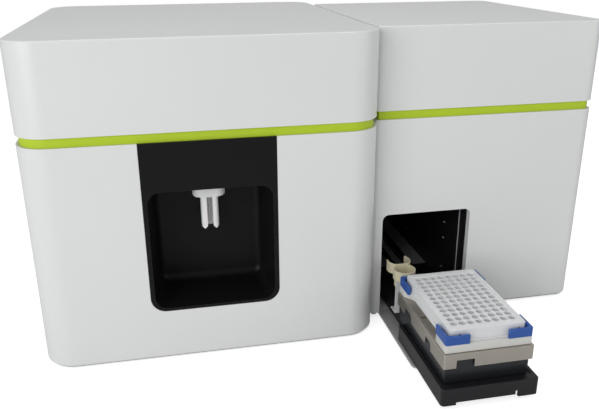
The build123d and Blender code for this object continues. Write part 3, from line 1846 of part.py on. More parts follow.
tilt = radians(rocker_tilt)
rocker_plane = Plane(
    origin=(switch_x - rocker_width / 2, panel_back - rocker_pin_depth, service_z),
    x_dir=(0, cos(tilt), -sin(tilt)),
    z_dir=(1, 0, 0),
)

with BuildPart() as power_rocker:
    with BuildSketch(rocker_plane) as side:
        with BuildLine():
            Polyline(
                (-3.5, -rocker_half / 2),
                (1.0, -rocker_half),
                (6.5, -rocker_half),
                (4.5, 0),
                (6.5, rocker_half),
                (1.0, rocker_half),
                (-3.5, rocker_half / 2),
                close=True,
            )
        make_face()
        Circle(rocker_pin + running_gap, mode=Mode.SUBTRACT)
    extrude(side.sketch, amount=rocker_width)
save(power_rocker, "power_rocker")

with BuildPart() as data_sockets:
    fitting_body(data_x, data_width, data_height, data_depth, data_lip)
    for left, right, low, high in ((-15.5, -1.5, -6.0, 5.0), (3.0, 15.0, -2.5, 2.5)):
        box_between(
            (data_x + left, panel_back - data_hole_depth, service_z + low),
            (data_x + right, panel_back + data_lip + 1.0, service_z + high),
            mode=Mode.SUBTRACT,
        )
save(data_sockets, "data_sockets")

barb_reach = main.back + rear_reach - panel_back

with BuildPart() as hose_fittings:
    for x, z in fluid_places:
        with BuildSketch(Plane(origin=(x, panel_back, z), x_dir=(1, 0, 0), z_dir=(0, 0, 1))) as profile:
            with BuildLine():
                Polyline(
                    (barb_bore, -barb_stem_length),
                    (barb_stem, -barb_stem_length),
                    (barb_stem, 0),
                    (barb_nut, 0),
                    (barb_nut, barb_nut_height),
                    (barb_neck, barb_nut_height),
                    (barb_root, barb_reach - barb_length),
                    (barb_tip, barb_reach),
                    (barb_bore, barb_reach),
                    close=True,
                )
            make_face()
        revolve(profile.sketch, axis=Axis((x, 0, z), (0, 1, 0)))
save(hose_fittings, "hose_fittings")
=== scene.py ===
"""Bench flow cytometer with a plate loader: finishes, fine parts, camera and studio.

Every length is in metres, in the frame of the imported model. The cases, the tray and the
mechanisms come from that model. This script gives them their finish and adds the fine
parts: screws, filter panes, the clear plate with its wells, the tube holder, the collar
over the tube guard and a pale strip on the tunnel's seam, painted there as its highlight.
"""

import json
from math import cos, copysign, hypot, radians, sin, tan

import bmesh
import bpy
from bpy.props import FloatProperty, FloatVectorProperty, PointerProperty
from mathutils import Matrix, Vector


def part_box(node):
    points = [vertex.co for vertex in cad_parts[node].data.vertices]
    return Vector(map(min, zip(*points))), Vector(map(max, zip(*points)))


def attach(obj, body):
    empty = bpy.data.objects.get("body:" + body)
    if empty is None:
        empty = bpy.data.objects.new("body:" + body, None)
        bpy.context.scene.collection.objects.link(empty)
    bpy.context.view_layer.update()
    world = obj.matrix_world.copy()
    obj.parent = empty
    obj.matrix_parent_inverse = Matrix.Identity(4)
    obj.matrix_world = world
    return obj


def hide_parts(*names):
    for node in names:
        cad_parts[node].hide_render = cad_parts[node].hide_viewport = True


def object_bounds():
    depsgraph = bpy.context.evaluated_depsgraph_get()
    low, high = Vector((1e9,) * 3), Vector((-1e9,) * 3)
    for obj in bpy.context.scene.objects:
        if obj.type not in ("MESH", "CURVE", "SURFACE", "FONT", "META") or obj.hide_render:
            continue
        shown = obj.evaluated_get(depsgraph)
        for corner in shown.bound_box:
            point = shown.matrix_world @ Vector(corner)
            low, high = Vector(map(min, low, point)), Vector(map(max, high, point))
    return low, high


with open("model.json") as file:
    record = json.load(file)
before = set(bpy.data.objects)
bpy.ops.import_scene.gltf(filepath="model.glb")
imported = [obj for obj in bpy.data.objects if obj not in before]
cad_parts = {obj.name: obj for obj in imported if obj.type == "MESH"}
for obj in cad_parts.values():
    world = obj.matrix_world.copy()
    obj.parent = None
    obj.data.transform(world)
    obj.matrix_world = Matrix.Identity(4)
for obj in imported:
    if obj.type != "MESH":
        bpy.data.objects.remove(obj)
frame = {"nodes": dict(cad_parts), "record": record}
CAD_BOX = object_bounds()

bl_info = {
    "name": "Flow cytometer finishes",
    "version": (1, 0, 0),
    "blender": (4, 5, 0),
    "location": "View3D > Sidebar > Cytometer",
    "description": "Finishes, fine parts and studio for a bench flow cytometer",
    "category": "Object",
}

MM = 0.001
PHOTO_WIDTH = 599
PHOTO_HEIGHT = 409
NODE_SLOT = {part["node"]: part["material_slot"] for part in frame["record"]["subparts"]}
NODE_BODY = {
    node: body for body, nodes in frame["record"]["behaviour"]["bodies"].items() for node in nodes
}
LEFT = Vector((-1, 0, 0))
BACK = Vector((0, 1, 0))
UP = Vector((0, 0, 1))


def colour_property(name, description, value):
    """Describe a colour that a user can change."""
    return FloatVectorProperty(
        name=name, description=description, subtype="COLOR", size=3, min=0.0, max=1.0, default=value
    )


def length_property(name, description, value):
    """Describe a length that a user can change, in metres."""
    return FloatProperty(
        name=name, description=description, subtype="DISTANCE", unit="LENGTH", min=0.0, precision=5,
        default=value,
    )


class CaseFinish(bpy.types.PropertyGroup):
    """Colours and edge sizes of the cases and the fascia."""

    shell: colour_property("Cases", "Moulded white of the cases", (0.80, 0.81, 0.81))
    lime: colour_property("Lime", "Trim band under the lids", (0.50, 0.67, 0.035))
    fascia: colour_property("Fascia", "Black panel with the alcove", (0.007, 0.007, 0.008))
    guard: colour_property("Guard", "Sleeve around the sample probe", (0.93, 0.93, 0.93))
    door: colour_property("Door", "Inner face of the loader door", (0.40, 0.405, 0.40))
    tunnel: colour_property("Tunnel", "Sheet tunnel of the loader", (0.010, 0.010, 0.012))
    sheet: colour_property("Sheet", "Painted rear panels and pans", (0.60, 0.61, 0.61))
    rubber: colour_property("Rubber", "Feet", (0.02, 0.02, 0.02))
    edge: length_property("Edge", "Bevel on moulded edges", 0.5 * MM)
    fine_edge: length_property("Fine edge", "Bevel on sheet and machined edges", 0.25 * MM)
    grain: length_property("Grain", "Size of the moulded texture", 0.8 * MM)


class TrayFinish(bpy.types.PropertyGroup):
    """Colours of the tray and what stands on it."""

    deck: colour_property("Deck", "Black tray casting", (0.008, 0.008, 0.010))
    block: colour_property("Block", "Dark block under the carriage", (0.022, 0.024, 0.028))
    steel: colour_property("Steel", "Bead blasted carriage", (0.46, 0.43, 0.385))
    holder: colour_property("Holder", "Pale plate holder", (0.66, 0.66, 0.63))
    guide: colour_property("Guide", "Blue corner guides", (0.018, 0.085, 0.36))
    cream: colour_property("Cream", "Nylon tube holder", (0.60, 0.56, 0.40))
    clear: colour_property("Clear", "Polystyrene plate", (0.93, 0.94, 0.95))
    rim: length_property("Rim", "Height of the rims round the wells", 0.45 * MM)
    wall: length_property("Wall", "Thickness of the plate's walls", 1.2 * MM)


class WorksFinish(bpy.types.PropertyGroup):
    """Colours of the mechanisms inside and at the back."""

    metal: colour_property("Metal", "Ground steel", (0.56, 0.56, 0.56))
    aluminium: colour_property("Aluminium", "Machined plates and frames", (0.63, 0.64, 0.65))
    anodised: colour_property("Anodised", "Dark anodised parts", (0.02, 0.02, 0.023))
    board: colour_property("Board", "Circuit boards", (0.012, 0.10, 0.035))
    brass: colour_property("Brass", "Turned brass", (0.60, 0.42, 0.16))
    plastic: colour_property("Plastic", "Black moulded parts", (0.016, 0.016, 0.017))
    nylon: colour_property("Nylon", "White moulded parts", (0.68, 0.68, 0.66))
    screw: length_property("Screw", "Head radius of the panel screws", 2.6 * MM)


class StudioSetup(bpy.types.PropertyGroup):
    """Camera and lights."""

    camera_place: FloatVectorProperty(
        name="Camera place", description="Where the camera stands", subtype="TRANSLATION", size=3,
        unit="LENGTH", default=(-0.1774, -0.81632, 0.43254),
    )
    turn: FloatProperty(
        name="Turn", description="Camera turned to the right", subtype="ANGLE", default=0.20121
    )
    dip: FloatProperty(name="Dip", description="Camera tipped down", subtype="ANGLE", default=0.35574)
    roll: FloatProperty(name="Roll", description="Camera rolled", subtype="ANGLE", default=-0.00558)
    focal_pixels: FloatProperty(
        name="Focal length", description="In pixels of the photograph", default=683.02
    )
    centre_x: FloatProperty(
        name="Centre across", description="Optical axis in the picture, pixels", default=302.09
    )
    centre_y: FloatProperty(
        name="Centre down", description="Optical axis in the picture, pixels", default=202.07
    )
    key: FloatProperty(name="Key", description="Power of the key light", unit="POWER", default=33.0)
    fill: FloatProperty(name="Fill", description="Power of the fill light", unit="POWER", default=6.0)
    top: FloatProperty(
        name="Top", description="Power of the overhead light", unit="POWER", default=19.0
    )
    sky: FloatProperty(name="Sky", description="Strength of the surrounding light", default=0.34)


# Shader groups that several finishes share
def group_tree(name, inputs, outputs):
    """Start a shader group with named sockets and return it with its two end nodes."""
    tree = bpy.data.node_groups.new(name, "ShaderNodeTree")
    for kind, socket, value in inputs:
        made = tree.interface.new_socket(name=socket, in_out="INPUT", socket_type=kind)
        if value is not None:
            made.default_value = value
    for kind, socket in outputs:
        tree.interface.new_socket(name=socket, in_out="OUTPUT", socket_type=kind)
    return tree, tree.nodes.new("NodeGroupInput"), tree.nodes.new("NodeGroupOutput")


def node(tree, kind, **values):
    """Add a node, setting its properties and the defaults of its inputs."""
    made = tree.nodes.new(kind)
    for key, value in values.items():
        if key.startswith("in_"):
            made.inputs[key[3:].replace("_", " ")].default_value = value
        else:
            setattr(made, key, value)
    return made


def grain_group():
    """Fine moulded or blasted texture, as a normal."""
    tree, given, result = group_tree(
        "Surface grain",
        [
            ("NodeSocketFloat", "Size", 0.001),
            ("NodeSocketFloat", "Strength", 0.2),
            ("NodeSocketFloat", "Depth", 0.0001),
            ("NodeSocketFloat", "Stretch", 1.0),
        ],
        [("NodeSocketVector", "Normal")],
    )
    place = node(tree, "ShaderNodeTexCoord")
    one_over = node(tree, "ShaderNodeMath", operation="DIVIDE")
    one_over.inputs[0].default_value = 1.0
    combine = node(tree, "ShaderNodeCombineXYZ", in_Y=1.0, in_Z=1.0)
    stretch = node(tree, "ShaderNodeVectorMath", operation="MULTIPLY")
    noise = node(tree, "ShaderNodeTexNoise", in_Detail=3.0, in_Roughness=0.55)
    bump = node(tree, "ShaderNodeBump")
    link = tree.links.new
    link(given.outputs["Size"], one_over.inputs[1])
    link(given.outputs["Stretch"], combine.inputs["X"])
    link(place.outputs["Object"], stretch.inputs[0])
    link(combine.outputs[0], stretch.inputs[1])
    link(stretch.outputs[0], noise.inputs["Vector"])
    link(one_over.outputs[0], noise.inputs["Scale"])
    link(noise.outputs["Fac"], bump.inputs["Height"])
    link(given.outputs["Strength"], bump.inputs["Strength"])
    link(given.outputs["Depth"], bump.inputs["Distance"])
    link(bump.outputs["Normal"], result.inputs["Normal"])
    return tree


def drift_group():
    """Slow change of tone and roughness over a surface."""
    tree, given, result = group_tree(
        "Tone drift",
        [
            ("NodeSocketColor", "Color", (0.5, 0.5, 0.5, 1.0)),
            ("NodeSocketFloat", "Amount", 0.05),
            ("NodeSocketFloat", "Patch", 0.05),
            ("NodeSocketFloat", "Roughness", 0.4),
            ("NodeSocketFloat", "Roughness Drift", 0.05),
        ],
        [("NodeSocketColor", "Color"), ("NodeSocketFloat", "Roughness")],
    )
    place = node(tree, "ShaderNodeTexCoord")
    one_over = node(tree, "ShaderNodeMath", operation="DIVIDE")
    one_over.inputs[0].default_value = 1.0
    noise = node(tree, "ShaderNodeTexNoise", in_Detail=4.0, in_Roughness=0.6)
    centred = node(tree, "ShaderNodeMath", operation="SUBTRACT")
    centred.inputs[1].default_value = 0.5
    tone = node(tree, "ShaderNodeMath", operation="MULTIPLY_ADD")
    tone.inputs[2].default_value = 1.0
    scale = node(tree, "ShaderNodeVectorMath", operation="SCALE")
    rough = node(tree, "ShaderNodeMath", operation="MULTIPLY_ADD")
    link = tree.links.new
    link(given.outputs["Patch"], one_over.inputs[1])
    link(place.outputs["Object"], noise.inputs["Vector"])
    link(one_over.outputs[0], noise.inputs["Scale"])
    link(noise.outputs["Fac"], centred.inputs[0])
    link(centred.outputs[0], tone.inputs[0])
    link(given.outputs["Amount"], tone.inputs[1])
    link(given.outputs["Color"], scale.inputs[0])
    link(tone.outputs[0], scale.inputs["Scale"])
    link(scale.outputs[0], result.inputs["Color"])
    link(centred.outputs[0], rough.inputs[0])
    link(given.outputs["Roughness Drift"], rough.inputs[1])
    link(given.outputs["Roughness"], rough.inputs[2])
    link(rough.outputs[0], result.inputs["Roughness"])
    return tree


def wear_and_highlight_group():
    """Lighter tone at edges, broken up by noise: a painted edge highlight on some finishes, scuffing
    on others.
    """
    tree, given, result = group_tree(
        "Edge wear",
        [
            ("NodeSocketColor", "Color", (0.5, 0.5, 0.5, 1.0)),
            ("NodeSocketColor", "Worn", (0.8, 0.8, 0.8, 1.0)),
            ("NodeSocketFloat", "Width", 0.001),
            ("NodeSocketFloat", "Amount", 0.5),
        ],
        [("NodeSocketColor", "Color"), ("NodeSocketFloat", "Mask")],
    )
    bevel = node(tree, "ShaderNodeBevel", samples=4)
    surface = node(tree, "ShaderNodeNewGeometry")
    dot = node(tree, "ShaderNodeVectorMath", operation="DOT_PRODUCT")
    edge = node(tree, "ShaderNodeMapRange", in_From_Min=0.995, in_From_Max=0.90)
    place = node(tree, "ShaderNodeTexCoord")
    noise = node(tree, "ShaderNodeTexNoise", in_Scale=220.0, in_Detail=5.0)
    broken = node(tree, "ShaderNodeMapRange", in_From_Min=0.35, in_From_Max=0.6)
    both = node(tree, "ShaderNodeMath", operation="MULTIPLY")
    share = node(tree, "ShaderNodeMath", operation="MULTIPLY", use_clamp=True)
    mix = node(tree, "ShaderNodeMix", data_type="RGBA")
    link = tree.links.new
    link(given.outputs["Width"], bevel.inputs["Radius"])
    link(bevel.outputs["Normal"], dot.inputs[0])
    link(surface.outputs["Normal"], dot.inputs[1])
    link(dot.outputs["Value"], edge.inputs["Value"])
    link(place.outputs["Object"], noise.inputs["Vector"])
    link(noise.outputs["Fac"], broken.inputs["Value"])
    link(edge.outputs["Result"], both.inputs[0])
    link(broken.outputs["Result"], both.inputs[1])
    link(both.outputs[0], share.inputs[0])
    link(given.outputs["Amount"], share.inputs[1])
    link(share.outputs[0], mix.inputs["Factor"])
    link(given.outputs["Color"], mix.inputs["A"])
    link(given.outputs["Worn"], mix.inputs["B"])
    link(mix.outputs["Result"], result.inputs["Color"])
    link(share.outputs[0], result.inputs["Mask"])
    return tree


GROUP_MAKERS = {"Surface grain": grain_group, "Tone drift": drift_group, "Edge wear": wear_and_highlight_group}


def shared(tree, name, **values):
    """Place a shared group in a material, with this material's own values."""
    group = bpy.data.node_groups.get(name) or GROUP_MAKERS[name]()
    placed = node(tree, "ShaderNodeGroup", node_tree=group)
    for key, value in values.items():
        placed.inputs[key.replace("_", " ")].default_value = value
    return placed


def finish(
    name, colour, roughness, metallic=0.0, tone=0.04, patch=0.06, rough_drift=0.06, grain=0.0008,
    grain_strength=0.15, grain_depth=0.00004, stretch=1.0, wear_and_highlight_tone=None, wear_and_highlight_amount=0.4, wear_and_highlight_width=0.0008,
    **sockets,
):
    """Make a material: base colour with drift, optional lighter edges (a painted highlight on some
    finishes, scuffing on others), grain and fixed shader values.
    """
    made = bpy.data.materials.get(name)
    if made:
        return made
    made = bpy.data.materials.new(name)
    made.use_nodes = True
    tree = made.node_tree
    link = tree.links.new
    shader = tree.nodes["Principled BSDF"]
    shader.inputs["Metallic"].default_value = metallic
    for key, value in sockets.items():
        shader.inputs[key.replace("_", " ")].default_value = value
    drift = shared(
        tree, "Tone drift", Color=(*colour, 1.0), Amount=tone, Patch=patch,
        Roughness=roughness, Roughness_Drift=rough_drift,
    )
    last = drift.outputs["Color"]
    # Lighter edges: a painted highlight on some finishes, scuffing on others.
    if wear_and_highlight_tone:
        wear_and_highlight_node = shared(tree, "Edge wear", Worn=(*wear_and_highlight_tone, 1.0), Width=wear_and_highlight_width, Amount=wear_and_highlight_amount)
        link(last, wear_and_highlight_node.inputs["Color"])
        last = wear_and_highlight_node.outputs["Color"]
    link(last, shader.inputs["Base Color"])
    link(drift.outputs["Roughness"], shader.inputs["Roughness"])
    texture = shared(
        tree, "Surface grain", Size=grain, Strength=grain_strength, Depth=grain_depth, Stretch=stretch
    )
    link(texture.outputs["Normal"], shader.inputs["Normal"])
    return made


def case_white(scene):
    """Coated white of the cases, with a fine texture."""
    case = scene.case_finish
    return finish(
        "Cabinet white", case.shell, 0.34, tone=0.03, patch=0.12, grain=case.grain,
        grain_strength=0.10, grain_depth=0.00003, Coat_Weight=0.15, Coat_Roughness=0.25,
    )


def lime_trim(scene):
    """Satin lime green trim."""
    return finish(
        "Lime trim", scene.case_finish.lime, 0.5, tone=0.05, grain=0.0005, grain_strength=0.12,
        Specular_IOR_Level=0.25,
    )


def fascia_black(scene):
    """Black moulding with a fine even texture, a soft sheen and a painted highlight on its edges."""
    # The pale edge tone is a painted highlight along the moulded edges.
    return finish(
        "Fascia black", scene.case_finish.fascia, 0.36, tone=0.10, patch=0.05, grain=0.0006,
        grain_strength=0.22, grain_depth=0.00005, wear_and_highlight_tone=(0.09, 0.09, 0.095), wear_and_highlight_amount=0.5,
        wear_and_highlight_width=0.0007, Specular_IOR_Level=0.15,
    )


def guard_white(scene):
    """White acetal of the tube guard."""
    return finish(
        "Guard white", scene.case_finish.guard, 0.38, tone=0.03, grain=0.0004, grain_strength=0.10,
        Subsurface_Weight=0.1, Subsurface_Scale=0.002,
    )


def door_grey(scene):
    """Grey inner face of the door, with a painted highlight on its edges."""
    # The near-white edge tone is a painted highlight.
    return finish(
        "Door grey", scene.case_finish.door, 0.40, tone=0.10, patch=0.03, grain=0.0005,
        grain_strength=0.2, wear_and_highlight_tone=(0.75, 0.75, 0.75), wear_and_highlight_amount=0.8, wear_and_highlight_width=0.0010,
    )


def tunnel_black(scene):
    """Black coated sheet of the tunnel."""
    return finish(
        "Tunnel black", scene.case_finish.tunnel, 0.42, tone=0.12, grain=0.0007, grain_strength=0.25
    )


def painted_sheet(scene):
    """Powder coated sheet of pans and rear panels."""
    return finish(
        "Painted sheet", scene.case_finish.sheet, 0.5, tone=0.05, grain=0.0009,
        grain_strength=0.35, grain_depth=0.00006,
    )


def rubber(scene):
    """Soft matt rubber."""
    return finish(
        "Rubber", scene.case_finish.rubber, 0.75, tone=0.15, grain=0.0006, grain_strength=0.3
    )


def tray_black(scene):
    """Black tray casting, lighter at its edges."""
    return finish(
        "Tray black", scene.tray_finish.deck, 0.38, tone=0.2, patch=0.03, grain=0.0007,
        grain_strength=0.25, grain_depth=0.00005, wear_and_highlight_tone=(0.10, 0.10, 0.105), wear_and_highlight_amount=0.6,
        wear_and_highlight_width=0.0012, Specular_IOR_Level=0.35,
    )


def block_dark(scene):
    """Dark anodised block, a little blue."""
    return finish(
        "Block dark", scene.tray_finish.block, 0.30, metallic=0.35, tone=0.25, patch=0.04,
        grain=0.0005, grain_strength=0.2, wear_and_highlight_tone=(0.12, 0.12, 0.125), wear_and_highlight_amount=0.5,
    )


def blasted_steel(scene):
    """Bead blasted stainless sheet, warm grey, with a painted highlight along its folds."""
    # The pale edge tone paints the highlight where the folds catch the light.
    return finish(
        "Blasted steel", scene.tray_finish.steel, 0.42, metallic=1.0, tone=0.10, patch=0.02,
        rough_drift=0.15, grain=0.0004, grain_strength=0.30, grain_depth=0.00004,
        wear_and_highlight_tone=(0.78, 0.73, 0.66), wear_and_highlight_amount=0.9, wear_and_highlight_width=0.0012,
    )


def holder_pale(scene):
    """Pale moulded plate holder."""
    return finish(
        "Holder pale", scene.tray_finish.holder, 0.42, tone=0.05, grain=0.0005, grain_strength=0.15
    )


def guide_blue(scene):
    """Blue acetal guides with a painted highlight on their edges."""
    # The pale blue edge tone is a painted highlight.
    return finish(
        "Guide blue", scene.tray_finish.guide, 0.36, tone=0.10, patch=0.02, grain=0.0004,
        grain_strength=0.15, wear_and_highlight_tone=(0.10, 0.24, 0.62), wear_and_highlight_amount=0.7, wear_and_highlight_width=0.0012,
    )


def cream_nylon(scene):
    """Cream nylon that lets a little light through."""
    return finish(
        "Cream nylon", scene.tray_finish.cream, 0.45, tone=0.08, patch=0.015, grain=0.0005,
        grain_strength=0.2, Subsurface_Weight=0.2, Subsurface_Scale=0.003,
    )


def clear_plate(scene):
    """Clear polystyrene."""
    return finish(
        "Clear polystyrene", scene.tray_finish.clear, 0.14, tone=0.02, rough_drift=0.05, grain=0.002,
        grain_strength=0.05, Transmission_Weight=0.25, IOR=1.3,
    )


def clear_glass(scene):
    """Clear glass of the cuvette and the syringe barrel."""
    return finish(
        "Clear glass", (0.94, 0.97, 0.98), 0.03, tone=0.0, rough_drift=0.0, grain=0.004,
        grain_strength=0.02, Transmission_Weight=0.95, IOR=1.5,
    )


def ground_steel(scene):
    """Ground bright steel with fine lines."""
    return finish(
        "Ground steel", scene.works_finish.metal, 0.22, metallic=1.0, tone=0.06, grain=0.0004,
        grain_strength=0.3, stretch=8.0,
    )


def aluminium(scene):
    """Machined aluminium with tool lines."""
    return finish(
        "Aluminium", scene.works_finish.aluminium, 0.33, metallic=1.0, tone=0.05, grain=0.0006,
        grain_strength=0.3, stretch=6.0,
    )


def anodised(scene):
    """Dark anodised aluminium, scuffed bright at its edges."""
    return finish(
        "Anodised dark", scene.works_finish.anodised, 0.40, metallic=0.3, tone=0.15, grain=0.0004,
        grain_strength=0.25, wear_and_highlight_tone=(0.22, 0.22, 0.23), wear_and_highlight_amount=0.35, wear_and_highlight_width=0.0006,
    )


def board_green(scene):
    """Solder-masked circuit board."""
    return finish(
        "Board green", scene.works_finish.board, 0.35, tone=0.25, patch=0.008, grain=0.0006
    )


def brass(scene):
    """Turned brass."""
    return finish(
        "Brass", scene.works_finish.brass, 0.28, metallic=1.0, tone=0.08, grain=0.0004, stretch=5.0
    )


def black_plastic(scene):
    """Black moulded plastic."""
    return finish(
        "Black plastic", scene.works_finish.plastic, 0.45, tone=0.12, grain=0.0006, grain_strength=0.25
    )


def white_nylon(scene):
    """White moulded plastic of fluid parts."""
    return finish(
        "White nylon", scene.works_finish.nylon, 0.42, tone=0.04, grain=0.0005, grain_strength=0.15,
        Subsurface_Weight=0.1, Subsurface_Scale=0.002,
    )


def filter_glass(scene):
    """Dichroic filter glass."""
    return finish(
        "Filter glass", (0.75, 0.45, 0.85), 0.05, tone=0.3, patch=0.01, rough_drift=0.0, grain=0.004,
        grain_strength=0.02, Transmission_Weight=0.6, IOR=1.5,
    )


SLOT_FINISH = {
    "white_shell": case_white,
    "white_lid": case_white,
    "green_band": lime_trim,
    "black_panel": fascia_black,
    "white_guard": guard_white,
    "door_grey": door_grey,
    "liner_black": tunnel_black,
    "tray_black": tray_black,
    "steel": blasted_steel,
    "bright_steel": ground_steel,
    "holder_grey": holder_pale,
    "corner_blue": guide_blue,
    "plate_clear": clear_plate,
    "holder_cream": cream_nylon,
    "sheet_metal": painted_sheet,
    "dark_metal": anodised,
    "aluminium": aluminium,
    "board_green": board_green,
    "rubber": rubber,
    "clear_glass": clear_glass,
    "black_plastic": black_plastic,
    "white_plastic": white_nylon,
    "brass": brass,
}


# Making pieces
def add_piece(name, bm, material, body, edge=0.0, corner_angle=radians(35)):
    """Turn a bmesh into a piece that rides on a body, smooth except at its corners."""
    for face in bm.faces:
        face.smooth = True
    for line in bm.edges:
        line.smooth = len(line.link_faces) == 2 and line.calc_face_angle() < corner_angle
    mesh = bpy.data.meshes.new(name)
    bm.to_mesh(mesh)
    bm.free()
    piece = bpy.data.objects.new(name, mesh)
    bpy.context.scene.collection.objects.link(piece)
    mesh.materials.append(material)
    if edge:
        round_off = piece.modifiers.new("Edges", "BEVEL")
        round_off.width = edge
        round_off.segments = 2
        round_off.limit_method = "ANGLE"
        round_off.angle_limit = corner_angle
        round_off.harden_normals = True
    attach(piece, body)
    return piece


def dress(cad_node, scene, edge=0.0, maker=None, reshape=None):
    """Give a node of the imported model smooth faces, rounded edges and its finish."""
    slot = NODE_SLOT[cad_node]
    material = (maker or SLOT_FINISH[slot])(scene)
    bm = bmesh.new()
    bm.from_mesh(frame["nodes"][cad_node].data)
    bmesh.ops.remove_doubles(bm, verts=bm.verts, dist=0.002 * MM)
    bmesh.ops.dissolve_limit(
        bm, angle_limit=radians(0.3), use_dissolve_boundaries=False, verts=bm.verts, edges=bm.edges
    )
    if reshape:
        reshape(bm)
    piece = add_piece(f"{cad_node}_skin", bm, material, NODE_BODY[cad_node], edge)
    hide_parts(cad_node)
    return piece


def dress_all(scene, nodes, edge):
    """Dress several nodes with one edge size."""
    for name in nodes:
        dress(name, scene, edge)


def add_slab(bm, low, high):
    """Add a slab between two corners."""
    low, high = Vector(low), Vector(high)
    size = high - low
    place = Matrix.Translation((low + high) / 2) @ Matrix.Diagonal((*size, 1.0))
    bmesh.ops.create_cube(bm, size=1.0, matrix=place)


def screw_mesh():
    """Make a button-head screw of unit radius with a hexagon socket, standing on its seat."""
    known = bpy.data.meshes.get("button_screw")
    if known:
        return known
    height, crown_radius, rim_height = 0.5, 0.92, 0.4
    rounding, land, socket_depth = 0.22, 0.2, 0.28
    bm = bmesh.new()
    bmesh.ops.create_cone(
        bm, cap_ends=True, segments=24, radius1=1.0, radius2=crown_radius, depth=height,
        matrix=Matrix.Translation((0, 0, height / 2)),
    )
    rim = [line for line in bm.edges if all(point.co.z > rim_height for point in line.verts)]
    bmesh.ops.bevel(
        bm, geom=rim, offset=rounding, segments=3, profile=0.5, affect="EDGES", material=-1
    )
    crown = max(bm.faces, key=lambda face: face.calc_center_median().z)
    bmesh.ops.inset_region(bm, faces=[crown], thickness=land)
    socket = bmesh.ops.extrude_discrete_faces(bm, faces=[crown])["faces"]
    bmesh.ops.translate(bm, vec=(0, 0, -socket_depth), verts=socket[0].verts)
    made = bpy.data.meshes.new("button_screw")
    bm.to_mesh(made)
    bm.free()
    return made


def scatter(name, prototype, places, material, body):
    """Join copies of a prototype, each at a centre, with a normal and a size, into one piece."""
    bm = bmesh.new()
    for centre, normal, size in places:
        known = len(bm.verts)
        bm.from_mesh(prototype)
        bm.verts.ensure_lookup_table()
        turn = Vector(normal).to_track_quat("Z", "Y").to_matrix().to_4x4()
        place = Matrix.Translation(centre) @ turn @ Matrix.Scale(size, 4)
        bmesh.ops.transform(bm, matrix=place, verts=bm.verts[known:])
    return add_piece(name, bm, material, body)


# The studio: where the lamps hang and how wide they are, and how pale the floor is
LAMPS = (
    ("key", (-1.85, -1.95, 0.95), 1.8),
    ("fill", (1.9, -1.5, 0.8), 1.4),
    ("top", (0.1, 0.2, 2.2), 2.0),
)
FLOOR_REACH = 9.0
FLOOR_DROP = 0.2 * MM
FLOOR_TONE = 0.80
FLOOR_GLOW = 0.72


class CYTOMETER_OT_stage(bpy.types.Operator):
    """Set up the camera of the photograph, the floor, the sky and the soft lights"""

    bl_idname = "cytometer.stage"
    bl_label = "Stage"

    def execute(self, context):
        scene = context.scene
        setup = scene.studio_setup
        scene.view_settings.view_transform = "Standard"
        make_camera(scene, setup)
        make_sky(scene, setup)
        make_floor()
        low, high = CAD_BOX
        middle = (low + high) / 2
        for name, place, size in LAMPS:
            make_lamp(name, place, middle, size, getattr(setup, name))
        return {"FINISHED"}


def make_camera(scene, setup):
    """Stand the camera where the photograph was taken from."""
    data = bpy.data.cameras.new("Camera")
    data.sensor_width = 36.0
    data.lens = setup.focal_pixels / PHOTO_WIDTH * data.sensor_width
    data.shift_x = (PHOTO_WIDTH / 2 - setup.centre_x) / PHOTO_WIDTH
    data.shift_y = (setup.centre_y - PHOTO_HEIGHT / 2) / PHOTO_WIDTH
    data.clip_start = 0.01
    camera = bpy.data.objects.new("Camera", data)
    scene.collection.objects.link(camera)
    right = Vector((cos(-setup.turn), sin(-setup.turn), 0))
    level = cos(setup.dip)
    ahead = Vector((sin(setup.turn) * level, cos(setup.turn) * level, -sin(setup.dip)))
    up = right.cross(ahead)
    across = right * cos(setup.roll) + up * sin(setup.roll)
    upward = up * cos(setup.roll) - right * sin(setup.roll)
    turn = Matrix((across, upward, -ahead)).transposed()
    camera.matrix_world = Matrix.Translation(setup.camera_place) @ turn.to_4x4()
    scene.camera = camera


def seen_white(tree, lit):
    """Mix plain white for camera and clear rays with what lights everything else."""
    link = tree.links.new
    path = node(tree, "ShaderNodeLightPath")
    seen = node(tree, "ShaderNodeMath", operation="MAXIMUM")
    white = node(tree, "ShaderNodeBackground", in_Color=(1, 1, 1, 1), in_Strength=1.0)
    mix = node(tree, "ShaderNodeMixShader")
    link(path.outputs["Is Camera Ray"], seen.inputs[0])
    link(path.outputs["Is Transmission Ray"], seen.inputs[1])
    link(seen.outputs[0], mix.inputs["Fac"])
    link(lit.outputs[0], mix.inputs[1])
    link(white.outputs[0], mix.inputs[2])
    return mix


def make_sky(scene, setup):
    """Surround the object with even pale light."""
    world = bpy.data.worlds.new("Studio")
    world.use_nodes = True
    tree = world.node_tree
    lit = tree.nodes["Background"]
    lit.inputs["Color"].default_value = (1, 1, 1, 1)
    lit.inputs["Strength"].default_value = setup.sky
    mix = seen_white(tree, lit)
    tree.links.new(mix.outputs[0], tree.nodes["World Output"].inputs["Surface"])
    scene.world = world


